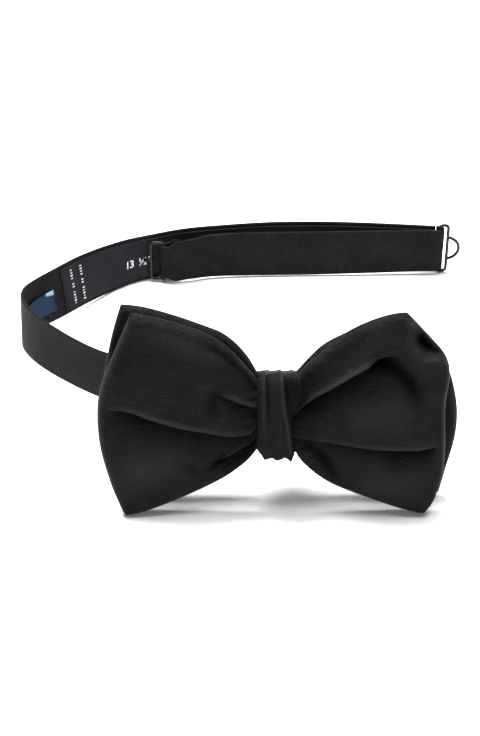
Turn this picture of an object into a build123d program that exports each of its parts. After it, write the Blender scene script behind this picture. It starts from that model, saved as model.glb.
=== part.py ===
"""Pre-tied black satin bow tie on an adjustable neck band, laid down with its band fastened to a size.

The bow stands on its lower corners and leans back on the band. The band runs on its edge from behind
the knot, out to the left, round a turn and back along the far side to a wire eye, where it doubles
back to a wire adjuster hooked in a buttonhole. Millimetres, +X right, +Y away from the front, +Z up.
"""
from build123d import *
import math
import os

# Neck band
BAND_WIDTH = 19.5
BAND_THICK = 1.2
SILK = 0.3
SEAM_GAP = 0.05
PART_GAP = 0.3

# Bow, in its own upright frame before it leans back
LEAN = 12.0
BOW_HEIGHT = 76.0
BOW_LEFT = 58.8
BOW_RIGHT = 55.8
REAR_RIGHT = 60.4
BOW_LIFT = 0.5
REAR_LIFT = 4.5
WAIST_HALF = 7.6
WAIST_HEIGHT = 28.0
WAIST_MIDDLE = 41.0
LAYER_DEPTH = 7.2
LAYER_GAP = 0.8
PANEL = 1.5
BOW_SILK = 0.4

# Knot wrap
WRAP_WIDTH = 13.2
WRAP_THICK = 1.6
WRAP_ROOM = 1.1
WRAP_CORNER = 3.5
THREAD = 0.7
THREAD_TURNS = 5
STITCH = 0.6

# Wire fittings
WIRE = 1.2
WIRE_ROOM = 0.2
EYE_DEPTH = 3.3
EYE_ROOM = 0.9
EYE_LOOP_HEIGHT = 10.0
EYE_LOOP_REACH = 4.4
ADJUSTER_DEPTH = 5.3
ADJUSTER_SPAN = 16.0
TONGUE_REACH = 1.5
TONGUE_DROP = 2.0
TONGUE_BEND = 1.3
TAB_HOOK_DEPTH = 4.2
TAB_HOOK_REACH = 6.0
TAB_HOOK_DROP = 3.4
TAB_HOOK_RETURN = 4.6
TAB_HOOK_BEND = 1.5
HEM_LENGTH = 6.0
HEM_HEIGHT = ADJUSTER_SPAN - 2 * WIRE_ROOM
HEM_ROWS = (2.6, 5.0)

# Size tape, buttonholes and label on the inner face
TAPE_THICK = 0.35
TAPE_MARGIN = 1.3
HOLE_PITCH = 25.4
HOLE_COUNT = 5
HOLE_LENGTH = 5.5
HOLE_HEIGHT = 3.0
HOLE_RIM = 0.5
HOLE_CUT = 6.0
LABEL_THICK = 0.4
LABEL_HEIGHT = 11.0
LABEL_MARGIN = 1.2

# Band route: foot of the band's middle line, then how far its top edge leans in x and in y
TAB_RIGHT = 39.0
KNOT_STRAIGHT = 16.0
BAND_ROOM = 1.05
BAND_BACK = LAYER_DEPTH * 1.5 + LAYER_GAP + SEAM_GAP + THREAD + BAND_ROOM + BAND_THICK / 2
BAND_FOOT = WAIST_MIDDLE - BAND_WIDTH / 2
EYE_X = 63.9
EYE_Y = 131.9
EYE_FOOT = 1.4
FAR_ROUTE = [
    (-31.0, 22.6, 25.2, 0.3, 3.6),
    (-46.0, 29.6, 20.8, 0.6, 2.8),
    (-61.4, 41.7, 16.0, 0.8, 2.2),
    (-75.5, 55.2, 12.5, 0.9, 3.0),
    (-85.4, 66.8, 10.2, 1.0, 3.8),
    (-90.6, 77.5, 8.0, 0.6, 4.2),
    (-89.6, 86.0, 6.2, -0.8, 4.4),
    (-84.6, 93.4, 4.6, -2.0, 4.6),
    (-78.6, 100.6, 3.0, -2.6, 5.0),
    (-71.4, 109.2, 1.6, -2.2, 5.2),
    (-65.3, 115.6, 0.6, -1.2, 5.0),
    (-59.8, 120.6, 0.0, -0.4, 4.0),
    (-54.0, 124.6, 0.0, 0.0, 2.6),
    (-46.6, 127.8, 0.0, 0.0, 1.8),
    (-33.3, 132.0, 0.0, 0.0, 1.6),
    (-16.6, 134.6, 0.0, 0.0, 1.5),
    (0.0, 136.3, 0.0, 0.0, 1.4),
    (17.0, 136.8, 0.0, 0.0, 1.2),
    (34.0, 136.2, 0.2, 0.0, 0.9),
    (50.5, 134.7, 0.8, 0.0, 0.4),
]
TAPE_START_X = -78.6
LABEL_STATIONS = [
    (-89.9, 84.6, 6.5, -0.6, 4.4),
    (-84.6, 93.4, 4.6, -2.0, 4.6),
    (-80.4, 98.4, 3.5, -2.4, 4.9),
]
HOLE_X = -46.2
HOLE_SLANT = 0.985

# Fold through the eye
FOLD_LEG = 1.2
FOLD_MIDDLE = WIRE / 2 + WIRE_ROOM + BAND_THICK / 2

# Return strap
RETURN_Y = 126.2
ADJUSTER_X = -40.6
RETURN_ROUTE = [
    (-30.0, 126.6, 1.4, 0.0, 0.4),
    (-22.6, 128.2, 0.6, 0.0, 1.2),
    (-8.0, 129.1, 0.3, 0.0, 1.6),
    (17.0, 129.7, 0.3, 0.0, 1.6),
    (41.0, 130.3, 0.8, 0.0, 1.0),
]
RETURN_TAPER = 0.88


def lean_back(shape):
    """Lean a piece of the upright bow back over its lower edge."""
    return Rot(-LEAN, 0, 0) * shape


def leaned(x, y, z):
    """Place of an upright bow point once the bow has leaned back."""
    turn = math.radians(LEAN)
    return Vector(x, y * math.cos(turn) + z * math.sin(turn), z * math.cos(turn) - y * math.sin(turn))


def knot_station(x):
    """Foot and lean of the band where it lies flat against the back of the bow."""
    foot = leaned(x, BAND_BACK, BAND_FOOT)
    top = leaned(x, BAND_BACK, BAND_FOOT + BAND_WIDTH)
    return (foot.X, foot.Y, foot.Z, top.X - foot.X, top.Y - foot.Y)


def section(point, along, low, high, near, far):
    """Cross-section of a strip: heights are from the foot, near and far from the middle line."""
    x, y, z, lean_x, lean_y = point
    rise = math.sqrt(max(BAND_WIDTH ** 2 - lean_x ** 2 - lean_y ** 2, 1.0))
    up = Vector(lean_x, lean_y, rise).normalized()
    side = along.cross(up).normalized()
    foot = Vector(x, y, z)
    corners = [
        foot + up * low + side * near,
        foot + up * high + side * near,
        foot + up * high + side * far,
        foot + up * low + side * far,
    ]
    return make_face(Polyline(*corners, close=True))


def strip(route, low, high, near, far):
    """Straight-sided strip through the stations of a route. Low and high may change along it."""
    faces = []
    for index, point in enumerate(route):
        before = route[max(index - 1, 0)]
        after = route[min(index + 1, len(route) - 1)]
        along = (Vector(*after[:3]) - Vector(*before[:3])).normalized()
        bottom = low[index] if isinstance(low, list) else low
        top = high[index] if isinstance(high, list) else high
        faces.append(section(point, along, bottom, top, near, far))
    return loft(faces, ruled=True)


def shorten(route, amount):
    """The same route with both ends pulled in."""
    result = list(route)
    for end, neighbour in ((0, 1), (-1, -2)):
        start = route[end]
        step = math.dist(start[:3], route[neighbour][:3])
        share = amount / step
        result[end] = tuple(a + (b - a) * share for a, b in zip(start, route[neighbour]))
    return result


def band_route():
    """Stations of the neck band from its tab, clear of the knot wrap first, to the wire eye."""
    clear_of_wrap = WRAP_WIDTH / 2 + WRAP_ROOM
    start = [knot_station(x) for x in (TAB_RIGHT, clear_of_wrap, -KNOT_STRAIGHT)]
    end = (EYE_X - FOLD_LEG - PART_GAP, EYE_Y + FOLD_MIDDLE, EYE_FOOT, 0.0, 0.0)
    return start + FAR_ROUTE + [end]


def tape_route():
    """Stations of the far side, where the size tape is sewn on."""
    route = band_route()
    return [point for point in route if point[0] >= TAPE_START_X and point[1] > EYE_Y / 2 + 10.0]


def inner_face(x):
    """Plane in the middle of the far run: x along the band, y up its face, z towards the neck."""
    run = tape_route()
    for first, second in zip(run, run[1:]):
        if first[0] <= x <= second[0]:
            share = (x - first[0]) / (second[0] - first[0])
            foot = [a + (b - a) * share for a, b in zip(first, second)]
            along = Vector(*second[:3]) - Vector(*first[:3])
            rise = math.sqrt(BAND_WIDTH ** 2 - foot[3] ** 2 - foot[4] ** 2)
            up = Vector(foot[3], foot[4], rise).normalized()
            side = along.cross(up).normalized()
            return Plane(origin=Vector(*foot[:3]) + up * BAND_WIDTH / 2, x_dir=up.cross(side), z_dir=side)
    raise ValueError("the far run doesn't reach this x")


def at_holes(length, height, depth):
    """A block at each buttonhole, square to the band and through its middle line."""
    places = [inner_face(HOLE_X + number * HOLE_PITCH * HOLE_SLANT) for number in range(HOLE_COUNT)]
    return [place * Box(length, height, depth) for place in places]


def cut_all(shape, tools):
    """Cut a list of tools from a shape."""
    for tool in tools:
        shape = shape - tool
    return shape


def rod(path):
    """Round wire along a path."""
    start = Plane(origin=path @ 0, z_dir=path % 0)
    return sweep(start * Circle(WIRE / 2), path=path)


def wire_frame(depth, span):
    """Closed wire frame in the XZ plane: its first bar on the Z axis, the other at x = depth."""
    half = span / 2 + WIRE / 2
    corner = min(1.4, depth * 0.45)
    upper = FilletPolyline((0, 0, 0), (0, 0, half), (depth, 0, half), (depth, 0, 0), radius=corner)
    lower = FilletPolyline((0, 0, 0), (0, 0, -half), (depth, 0, -half), (depth, 0, 0), radius=corner)
    return rod(upper) + rod(lower)


def hem(span):
    """Folded and stitched cloth end round a wire bar on the Z axis, running to +X."""
    bore = WIRE / 2 + WIRE_ROOM
    outer = bore + BAND_THICK
    tail = BAND_THICK
    edges = [
        Line((HEM_LENGTH, -tail), (0.0, -outer)),
        ThreePointArc((0.0, -outer), (-outer, 0.0), (0.0, outer)),
        Line((0.0, outer), (HEM_LENGTH, tail)),
        Line((HEM_LENGTH, tail), (HEM_LENGTH, -tail)),
    ]
    face = make_face(edges) - Circle(bore)
    return Pos(0, 0, -span / 2) * extrude(face, amount=span)


def bow_outline(left, right, low, high_left, high_right, inset):
    """Front view of one bow layer, from its lower left corner and round clockwise."""
    left = left - inset
    right = right - inset
    low = low + 1.6 * inset
    high_left = high_left - 1.6 * inset
    high_right = high_right - 1.6 * inset
    top = WAIST_MIDDLE + WAIST_HEIGHT / 2 - inset
    bottom = WAIST_MIDDLE - WAIST_HEIGHT / 2 + inset
    half = WAIST_HALF
    left_foot = (-left + 7.8, low)
    left_head = (-left + 11.0, high_left)
    right_foot = (right - 5.0, low)
    right_head = (right - 14.2, high_right)
    edges = [
        ThreePointArc(left_foot, (-left, WAIST_MIDDLE - 3.0), left_head),
        Spline(left_head, (-31.0, high_left - 4.6), (-15.0, high_left - 13.4), (-half, top)),
        Line((-half, top), (half, top)),
        Spline((half, top), (17.0, high_right - 12.4), (27.0, high_right - 5.4), right_head),
        ThreePointArc(right_head, (right, WAIST_MIDDLE - 8.0), right_foot),
        Spline(right_foot, (30.0, low + 6.8), (14.0, low + 15.0), (half, bottom)),
        Line((half, bottom), (-half, bottom)),
        Spline((-half, bottom), (-13.0, low + 18.0), (-29.0, low + 8.0), left_foot),
    ]
    return make_face(edges)


def layer_plan(left, right, inset):
    """Top view of one bow layer: a flattened loop on each side of a solid waist."""
    half = LAYER_DEPTH / 2
    rim = Polyline(
        (-left - 0.4, 0.0),
        (-left + 4.5, -half + 2.0),
        (-left + 24.0, -half + 0.4),
        (-10.0, -half),
        (10.0, -half),
        (right - 22.0, -half + 0.4),
        (right - 4.0, -half + 2.0),
        (right + 0.4, 0.0),
        (right - 4.0, half - 1.6),
        (right - 22.0, half - 0.2),
        (10.0, half),
        (-10.0, half),
        (-left + 24.0, half - 0.2),
        (-left + 4.5, half - 1.6),
        close=True,
    )
    face = make_face(rim)
    if inset:
        face = offset(face, amount=-inset, kind=Kind.INTERSECTION)
    for side, reach in ((-1, left), (1, right)):
        hollow = make_face(Polyline(
            (side * 12.0, 0.0),
            (side * 20.0, -half + PANEL + 0.3),
            (side * (reach - 24.0), -half + PANEL + 0.4),
            (side * (reach - 6.5), -half + PANEL + 1.9),
            (side * (reach - 3.6), 0.1),
            (side * (reach - 6.5), half - PANEL - 1.5),
            (side * (reach - 24.0), half - PANEL - 0.2),
            (side * 20.0, half - PANEL - 0.1),
            close=True,
        ))
        if inset:
            hollow = offset(hollow, amount=inset, kind=Kind.INTERSECTION)
        face = face - hollow
    return face


def bow_layer(left, right, low, high_left, high_right, middle, inset):
    """One folded bow layer as the common part of its front view and its top view."""
    outline = bow_outline(left, right, low, high_left, high_right, inset)
    front = extrude(Plane.XZ * outline, amount=40.0, both=True)
    plan = layer_plan(left, right, inset)
    loops = extrude(plan, amount=BOW_HEIGHT + 20.0)
    return Pos(0, middle, 0) * (front & loops)


def wrap_ring(inset):
    """Knot wrap round the waist, seen from the side and given its width."""
    front = -LAYER_DEPTH / 2 - WRAP_ROOM - WRAP_THICK
    back = BAND_BACK + BAND_THICK / 2 + SEAM_GAP + WRAP_THICK
    depth = back - front
    height = WAIST_HEIGHT + 2 * WRAP_ROOM + 2 * WRAP_THICK
    centre = Pos(0, (front + back) / 2, WAIST_MIDDLE)
    plane = Plane.YZ
    outer = RectangleRounded(depth - 2 * inset, height - 2 * inset, WRAP_CORNER - inset)
    wall = WRAP_THICK - inset
    inner = RectangleRounded(depth - 2 * wall, height - 2 * wall, WRAP_CORNER - wall)
    ring = extrude(plane * (outer - inner), amount=WRAP_WIDTH / 2 - inset, both=True)
    return centre * ring


def binding():
    """Thread wound round both bow layers at the waist."""
    front = -LAYER_DEPTH / 2 - THREAD / 2 - SEAM_GAP
    back = LAYER_DEPTH * 1.5 + LAYER_GAP + THREAD / 2 + SEAM_GAP
    depth = back - front
    height = WAIST_HEIGHT + THREAD + 2 * SEAM_GAP
    turns = []
    outer = RectangleRounded(depth + THREAD, height + THREAD, 1.2)
    inner = Rectangle(depth - THREAD, height - THREAD)
    for number in range(THREAD_TURNS):
        x = (number - (THREAD_TURNS - 1) / 2) * THREAD * 1.6
        ring = extrude(Plane.YZ * (outer - inner), amount=THREAD / 2, both=True)
        turns.append(Pos(x, (front + back) / 2, WAIST_MIDDLE) * ring)
    return turns


def stitch_row(count, pitch, length, axis):
    """A row of short thread bars centred on the origin, spaced along Z and lying along an axis."""
    bars = []
    turn = {"x": Rot(0, 90, 0), "z": Rot(0, 0, 0)}[axis]
    for number in range(count):
        z = (number - (count - 1) / 2) * pitch
        bars.append(Pos(0, 0, z) * turn * Cylinder(STITCH / 2, length))
    return bars


def hem_face(x):
    """How far from the hem's middle plane a stitch lies on its sloping face."""
    outer = WIRE / 2 + WIRE_ROOM + BAND_THICK
    return outer + (BAND_THICK - outer) * x / HEM_LENGTH + STITCH / 2 + SEAM_GAP


def fold_loop():
    """Cloth that turns back round the eye's bar, open towards the straps."""
    bore = WIRE / 2 + WIRE_ROOM
    outer = bore + BAND_THICK
    legs = Pos(-FOLD_LEG / 2, 0) * Rectangle(FOLD_LEG, 2 * outer)
    gap = Pos(-FOLD_LEG / 2, 0) * Rectangle(FOLD_LEG, 2 * bore)
    half_plane = Pos(outer / 2, 0) * Rectangle(outer, 2 * outer)
    bend = (Circle(outer) - Circle(bore)) & half_plane
    return extrude(bend + (legs - gap), amount=BAND_WIDTH)


def adjuster():
    """Wire frame with a tongue at mid height: out from the second bar, then down into a buttonhole."""
    reach = ADJUSTER_DEPTH + TONGUE_REACH
    points = [(ADJUSTER_DEPTH, 0, 0), (reach, 0, 0), (reach, -TONGUE_DROP, 0)]
    return wire_frame(ADJUSTER_DEPTH, ADJUSTER_SPAN) + rod(FilletPolyline(*points, radius=TONGUE_BEND))


def mating_hook():
    """Wire frame with a hook at mid height: out from the second bar, down in y and back."""
    depth = TAB_HOOK_DEPTH
    reach = depth + TAB_HOOK_REACH
    drop = TAB_HOOK_DROP
    points = [(depth, 0, 0), (reach, 0, 0), (reach, drop, 0), (reach - TAB_HOOK_RETURN, drop, 0)]
    return wire_frame(depth, ADJUSTER_SPAN) + rod(FilletPolyline(*points, radius=TAB_HOOK_BEND))


def eye():
    """Wire frame with a half-round loop for the mating hook."""
    half = EYE_LOOP_HEIGHT / 2
    reach = EYE_DEPTH + EYE_LOOP_REACH
    loop = ThreePointArc((EYE_DEPTH, 0, -half), (reach, 0, 0), (EYE_DEPTH, 0, half))
    return wire_frame(EYE_DEPTH, BAND_WIDTH + EYE_ROOM) + rod(loop)


def build_bow(nodes):
    """Bow layers, binding, and knot wrap, leaned back together."""
    rear_middle = LAYER_DEPTH + LAYER_GAP
    front = (BOW_LEFT, BOW_RIGHT, BOW_LIFT, BOW_HEIGHT, BOW_HEIGHT, 0.0)
    rear = (BOW_LEFT - 1.2, REAR_RIGHT, REAR_LIFT, BOW_HEIGHT - 1.6, BOW_HEIGHT - 6.0, rear_middle)
    for name, sizes in (("front_bow", front), ("rear_bow", rear)):
        core = bow_layer(*sizes, BOW_SILK)
        nodes[name] = lean_back(bow_layer(*sizes, 0.0) - core)
        nodes[name + "_interlining"] = lean_back(core)
    nodes["binding_thread"] = lean_back(Compound(binding()))
    wrap_core = wrap_ring(BOW_SILK)
    nodes["knot_wrap"] = lean_back(wrap_ring(0.0) - wrap_core)
    nodes["knot_wrap_interlining"] = lean_back(wrap_core)
    wrap_back = BAND_BACK + BAND_THICK / 2 + SEAM_GAP + WRAP_THICK
    rows = [Pos(0, wrap_back + STITCH / 2, WAIST_MIDDLE) * bar for bar in stitch_row(6, 3.6, 4.0, "x")]
    nodes["knot_stitches"] = lean_back(Compound(rows))


def build_band(nodes):
    """Neck band with its tab, tape, buttonholes and label."""
    route = band_route()
    half = BAND_THICK / 2
    core_half = half - SILK
    holes = at_holes(HOLE_LENGTH + 2 * HOLE_RIM, HOLE_HEIGHT + 2 * HOLE_RIM, HOLE_CUT)
    core = strip(shorten(route, 1.0), SILK, BAND_WIDTH - SILK, -core_half, core_half)
    band = strip(route, 0.0, BAND_WIDTH, -half, half) - core
    tab_x = TAB_RIGHT + HEM_LENGTH
    tab_hem = Pos(tab_x, BAND_BACK, WAIST_MIDDLE) * Rot(0, 0, 180) * hem(HEM_HEIGHT)
    nodes["neck_band"] = cut_all(band + lean_back(tab_hem), holes)
    nodes["neck_band_interlining"] = cut_all(core, holes)
    face_y = BAND_BACK + hem_face(HEM_LENGTH / 2)
    seam = Pos(tab_x - HEM_LENGTH / 2, face_y, WAIST_MIDDLE)
    rows = [seam * bar for bar in stitch_row(5, 3.0, 2.0, "z")]
    nodes["tab_stitches"] = lean_back(Compound(rows))

    face = half + SEAM_GAP
    tape = strip(tape_route(), TAPE_MARGIN, BAND_WIDTH - TAPE_MARGIN, face, face + TAPE_THICK)
    nodes["size_tape"] = cut_all(tape, holes)
    rim_depth = BAND_THICK + 2 * (SEAM_GAP + TAPE_THICK)
    outers = at_holes(HOLE_LENGTH + 2 * HOLE_RIM, HOLE_HEIGHT + 2 * HOLE_RIM, rim_depth)
    inners = at_holes(HOLE_LENGTH, HOLE_HEIGHT, HOLE_CUT)
    nodes["buttonhole_stitching"] = Compound([outer - inner for outer, inner in zip(outers, inners)])
    seam = inner_face(TAPE_START_X + 1.6) * Pos(0, 0, face + TAPE_THICK + STITCH / 2 + SEAM_GAP)
    rows = [seam * Rot(-90, 0, 0) * bar for bar in stitch_row(6, 2.6, 1.6, "x")]
    nodes["tape_stitches"] = Compound(rows)

    label_face = half + PART_GAP
    label_top = LABEL_MARGIN + LABEL_HEIGHT
    label_back = label_face + LABEL_THICK
    nodes["woven_label"] = strip(LABEL_STATIONS, LABEL_MARGIN, label_top, label_face, label_back)


def build_fittings(nodes):
    """Eye, adjuster and tab hook, with the cloth that moves with them."""
    eye_middle = EYE_FOOT - WIRE_ROOM + (BAND_WIDTH + EYE_ROOM) / 2
    nodes["band_eye"] = Pos(EYE_X, EYE_Y, eye_middle) * eye()
    nodes["strap_fold"] = Pos(EYE_X, EYE_Y, EYE_FOOT) * fold_loop()

    middle = inner_face(HOLE_X).origin.Z
    start_x = ADJUSTER_X + HEM_LENGTH + PART_GAP
    start = (start_x, RETURN_Y - BAND_THICK / 2, middle - HEM_HEIGHT / 2, 0.0, 0.0)
    end = (EYE_X - FOLD_LEG - 2 * SEAM_GAP, EYE_Y - FOLD_MIDDLE, EYE_FOOT, 0.0, 0.0)
    route = [start] + RETURN_ROUTE + [end]
    tops = [HEM_HEIGHT, BAND_WIDTH * RETURN_TAPER] + [BAND_WIDTH] * (len(route) - 2)
    core_tops = [top - SILK for top in tops]
    half = BAND_THICK / 2
    core = strip(shorten(route, 1.0), SILK, core_tops, SILK - half, half - SILK)
    nodes["return_strap"] = strip(route, 0.0, tops, -half, half) - core
    nodes["return_strap_interlining"] = core

    place = Pos(ADJUSTER_X, RETURN_Y, middle)
    nodes["return_strap_hem"] = place * hem(HEM_HEIGHT)
    bars = stitch_row(5, 3.0, 2.0, "z")
    rows = [place * Pos(x, -hem_face(x), 0) * bar for x in HEM_ROWS for bar in bars]
    nodes["hem_stitches"] = Compound(rows)
    nodes["adjuster_hook"] = place * Rot(0, 0, 180) * adjuster()
    nodes["tab_hook"] = lean_back(Pos(TAB_RIGHT + HEM_LENGTH, BAND_BACK, WAIST_MIDDLE) * mating_hook())


def main():
    nodes = {}
    build_bow(nodes)
    build_band(nodes)
    build_fittings(nodes)
    os.makedirs("parts", exist_ok=True)
    box = Compound(list(nodes.values())).bounding_box()
    shift = Pos(-(box.min.X + box.max.X) / 2, -(box.min.Y + box.max.Y) / 2, -box.min.Z)
    print("origin moved by", shift.position)
    for name, shape in nodes.items():
        export_step(shift * shape, "parts/" + name + ".step")


main()
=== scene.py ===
"""Black satin bow tie on an adjustable neck band, dressed in cloth over its solid frame.

Shapes are worked out in millimetres in the tie's own place, and each mesh is turned into the frame's
metres when it is made. The bow has its own flat axes: u to the right, v up its face, n out of its front.
"""

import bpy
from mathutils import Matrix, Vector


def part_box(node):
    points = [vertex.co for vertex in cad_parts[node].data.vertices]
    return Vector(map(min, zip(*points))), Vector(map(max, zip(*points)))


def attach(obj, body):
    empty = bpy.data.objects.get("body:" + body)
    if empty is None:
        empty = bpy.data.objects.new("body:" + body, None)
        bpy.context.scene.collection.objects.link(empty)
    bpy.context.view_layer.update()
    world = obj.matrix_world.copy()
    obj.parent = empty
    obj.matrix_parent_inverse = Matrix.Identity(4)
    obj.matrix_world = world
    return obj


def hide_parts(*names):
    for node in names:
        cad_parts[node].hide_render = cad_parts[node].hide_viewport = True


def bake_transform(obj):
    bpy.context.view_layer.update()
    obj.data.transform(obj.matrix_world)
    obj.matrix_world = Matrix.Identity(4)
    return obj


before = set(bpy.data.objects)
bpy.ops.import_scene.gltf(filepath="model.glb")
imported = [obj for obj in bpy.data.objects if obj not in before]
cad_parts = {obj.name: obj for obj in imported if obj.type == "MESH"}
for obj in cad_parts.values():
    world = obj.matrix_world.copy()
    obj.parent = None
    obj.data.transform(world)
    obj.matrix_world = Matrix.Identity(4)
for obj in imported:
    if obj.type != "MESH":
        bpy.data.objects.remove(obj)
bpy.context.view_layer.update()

import math

import bmesh
import bpy
import numpy as np
from mathutils import Matrix, Vector

bl_info = {
    "name": "Satin Bow Tie",
    "version": (1, 0, 0),
    "blender": (4, 5, 0),
    "location": "View3D > Sidebar > Bow Tie",
    "description": "Dresses a bow tie frame in satin, tape, thread and wire finishes",
    "category": "Object",
}

MM = 1000.0
LEAN = math.radians(12.0)
WAIST_MIDDLE = 41.0  # v of the middle of the waist and of the band behind it
EYE_ROW = 131.9  # y of the eye's bar from the tie's origin
THREAD_MERGE = 0.002
CLOTH_UV = "cloth"
# uv map that carries each point's painted shade and painted highlight amounts
PAINTED_LIGHT_UV = "fold"


# --------------------------------------------------------------------------------------------------
# Places

def tie_origin():
    """Where the tie's own origin lies in the frame, in millimetres."""
    wrap_low, wrap_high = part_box("knot_wrap")
    eye_low, eye_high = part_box("band_eye")
    x = (wrap_low.x + wrap_high.x) / 2 * MM
    y = (eye_low.y + eye_high.y) / 2 * MM - EYE_ROW
    return np.array([x, y, eye_low.z * MM])


ORIGIN = tie_origin()


def to_row(points):
    """Tie millimetres to the frame's metres."""
    return (np.asarray(points, float) + ORIGIN) / MM


def from_bow(u, v, n):
    """Bow coordinates to tie millimetres, for arrays of any one shape."""
    y = v * math.sin(LEAN) - n * math.cos(LEAN)
    z = v * math.cos(LEAN) + n * math.sin(LEAN)
    return np.stack(np.broadcast_arrays(u, y, z), axis=-1)


# --------------------------------------------------------------------------------------------------
# Curves and profiles

def smooth_line(points, steps=10):
    """A smooth curve through a few given points."""
    points = np.array(points, float)
    first = 2 * points[0] - points[1]
    last = 2 * points[-1] - points[-2]
    padded = np.vstack([first, points, last])
    shares = np.arange(steps)[:, None] / steps
    spans = []
    for index in range(1, len(padded) - 2):
        a, b, c, d = padded[index - 1:index + 3]
        bend = 2 * a - 5 * b + 4 * c - d
        twist = -a + 3 * b - 3 * c + d
        spans.append(0.5 * (2 * b + (c - a) * shares + bend * shares ** 2 + twist * shares ** 3))
    spans.append(points[-1:])
    return np.vstack(spans)


def travel(points):
    """Length along a line up to each of its points."""
    steps = np.linalg.norm(np.diff(points[:, :3], axis=0), axis=1)
    return np.concatenate([[0.0], np.cumsum(steps)])


def sample(points, lengths):
    """Points of a line at given lengths along it."""
    along = travel(points)
    return np.stack([np.interp(lengths, along, column) for column in points.T], axis=1)


def along_x(points, x):
    """Height of a line at x, for lines that run outwards."""
    order = np.argsort(points[:, 0])
    return np.interp(x, points[order, 0], points[order, 1])


def ease(x, low, high):
    """Smooth step from 0 at low to 1 at high."""
    share = np.clip((x - low) / (high - low), 0.0, 1.0)
    return share * share * (3 - 2 * share)


def roll(distance, radius):
    """Quarter-round rise from an edge, from 0 at the edge to 1 at its radius."""
    share = np.clip(distance / radius, 0.0, 1.0)
    return np.sqrt(1.0 - (1.0 - share) ** 2)


def wander(x, y, seed):
    """Slow unevenness of hand-sewn cloth, from -1 to 1."""
    first = np.sin(x * 0.21 + y * 0.13 + seed)
    second = np.sin(x * 0.09 - y * 0.26 + seed * 2.3)
    third = np.sin(x * 0.37 + y * 0.31 + seed * 4.1)
    return (first + second + 0.5 * third) / 2.5


def line_distance(x, y, line):
    """Distance of each point to a line, and the share along the line of its nearest point."""
    along = travel(np.column_stack([line, np.zeros(len(line))]))
    best = np.full(np.shape(x), 1e9)
    share = np.zeros(np.shape(x))
    for index in range(len(line) - 1):
        start = line[index]
        step = line[index + 1] - start
        length = float(step @ step)
        t = np.clip(((x - start[0]) * step[0] + (y - start[1]) * step[1]) / length, 0.0, 1.0)
        gap = np.hypot(x - start[0] - t * step[0], y - start[1] - t * step[1])
        nearer = gap < best
        best = np.where(nearer, gap, best)
        here = (along[index] + t * math.sqrt(length)) / along[-1]
        share = np.where(nearer, here, share)
    return best, share


# --------------------------------------------------------------------------------------------------
# Meshes

def make_piece(name, points, faces, uvs, merge=0.02, folds=None):
    """A closed, smooth piece from points in tie millimetres, with its cloth coordinates in metres.

    Folds gives each point its painted shade and painted highlight amounts, from 0 to 1, kept on the fold uv
    map.
    Points nearer to each other than merge are joined.
    """
    mesh = bpy.data.meshes.new(name)
    mesh.from_pydata([tuple(p) for p in to_row(points)], [], [tuple(f) for f in faces])
    layer = mesh.uv_layers.new(name=CLOTH_UV)
    corners = np.zeros(len(mesh.loops), int)
    mesh.loops.foreach_get("vertex_index", corners)
    layer.data.foreach_set("uv", (np.asarray(uvs, float)[corners] / MM).ravel())
    folds = np.zeros((len(points), 2)) if folds is None else np.asarray(folds, float)
    painted_light_layer = mesh.uv_layers.new(name=PAINTED_LIGHT_UV)
    painted_light_layer.data.foreach_set("uv", folds[corners].ravel())
    shape = bmesh.new()
    shape.from_mesh(mesh)
    bmesh.ops.remove_doubles(shape, verts=shape.verts, dist=merge / MM)
    bmesh.ops.dissolve_degenerate(shape, edges=shape.edges, dist=merge / MM / 4)
    bmesh.ops.recalc_face_normals(shape, faces=shape.faces)
    for face in shape.faces:
        face.smooth = True
    shape.to_mesh(mesh)
    shape.free()
    piece = bpy.data.objects.new(name, mesh)
    bpy.context.scene.collection.objects.link(piece)
    return piece


def grid_faces(rows, columns, start=0, around=False):
    """Four-sided faces of a grid of points, which may close on itself across its columns."""
    faces = []
    last = columns if around else columns - 1
    for row in range(rows - 1):
        for column in range(last):
            a = start + row * columns + column
            b = start + row * columns + (column + 1) % columns
            faces.append((a, b, b + columns, a + columns))
    return faces


def cord_faces(rings, sides, start=0):
    """Faces of a cord with a flat cap at each end."""
    last = start + (rings - 1) * sides
    faces = grid_faces(rings, sides, start, around=True)
    faces.append(tuple(start + step for step in range(sides)))
    faces.append(tuple(last + step for step in reversed(range(sides))))
    return faces


def slab(name, middle, normal, thick, uv, keep=None, closed=False, folds=None):
    """A sheet of cloth with two faces round a grid of middle points. Keep says which cells are cloth."""
    rows, columns = middle.shape[:2]
    cells = rows if closed else rows - 1
    keep = np.ones((cells, columns - 1), bool) if keep is None else keep
    half = normal * (np.broadcast_to(thick, (rows, columns)) / 2)[..., None]
    points = np.concatenate([(middle + half).reshape(-1, 3), (middle - half).reshape(-1, 3)])
    uvs = np.concatenate([uv.reshape(-1, 2), uv.reshape(-1, 2)])
    if folds is not None:
        folds = np.concatenate([folds.reshape(-1, 2), folds.reshape(-1, 2)])
    count = rows * columns
    faces = []

    def is_kept(row, column):
        """Whether that cell is there and is cloth."""
        if closed:
            row %= rows
        return 0 <= row < cells and 0 <= column < columns - 1 and keep[row, column]

    for row in range(cells):
        for column in range(columns - 1):
            if not keep[row, column]:
                continue
            a = row * columns + column
            b = a + 1
            d = ((row + 1) % rows) * columns + column
            c = d + 1
            faces.append((a, b, c, d))
            faces.append((a + count, d + count, c + count, b + count))
            sides = ((a, b, -1, 0), (b, c, 0, 1), (c, d, 1, 0), (d, a, 0, -1))
            for near, far, row_step, column_step in sides:
                if not is_kept(row + row_step, column + column_step):
                    faces.append((near, near + count, far + count, far))
    return make_piece(name, points, faces, uvs, folds=folds)


# --------------------------------------------------------------------------------------------------
# Bow layers

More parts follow.
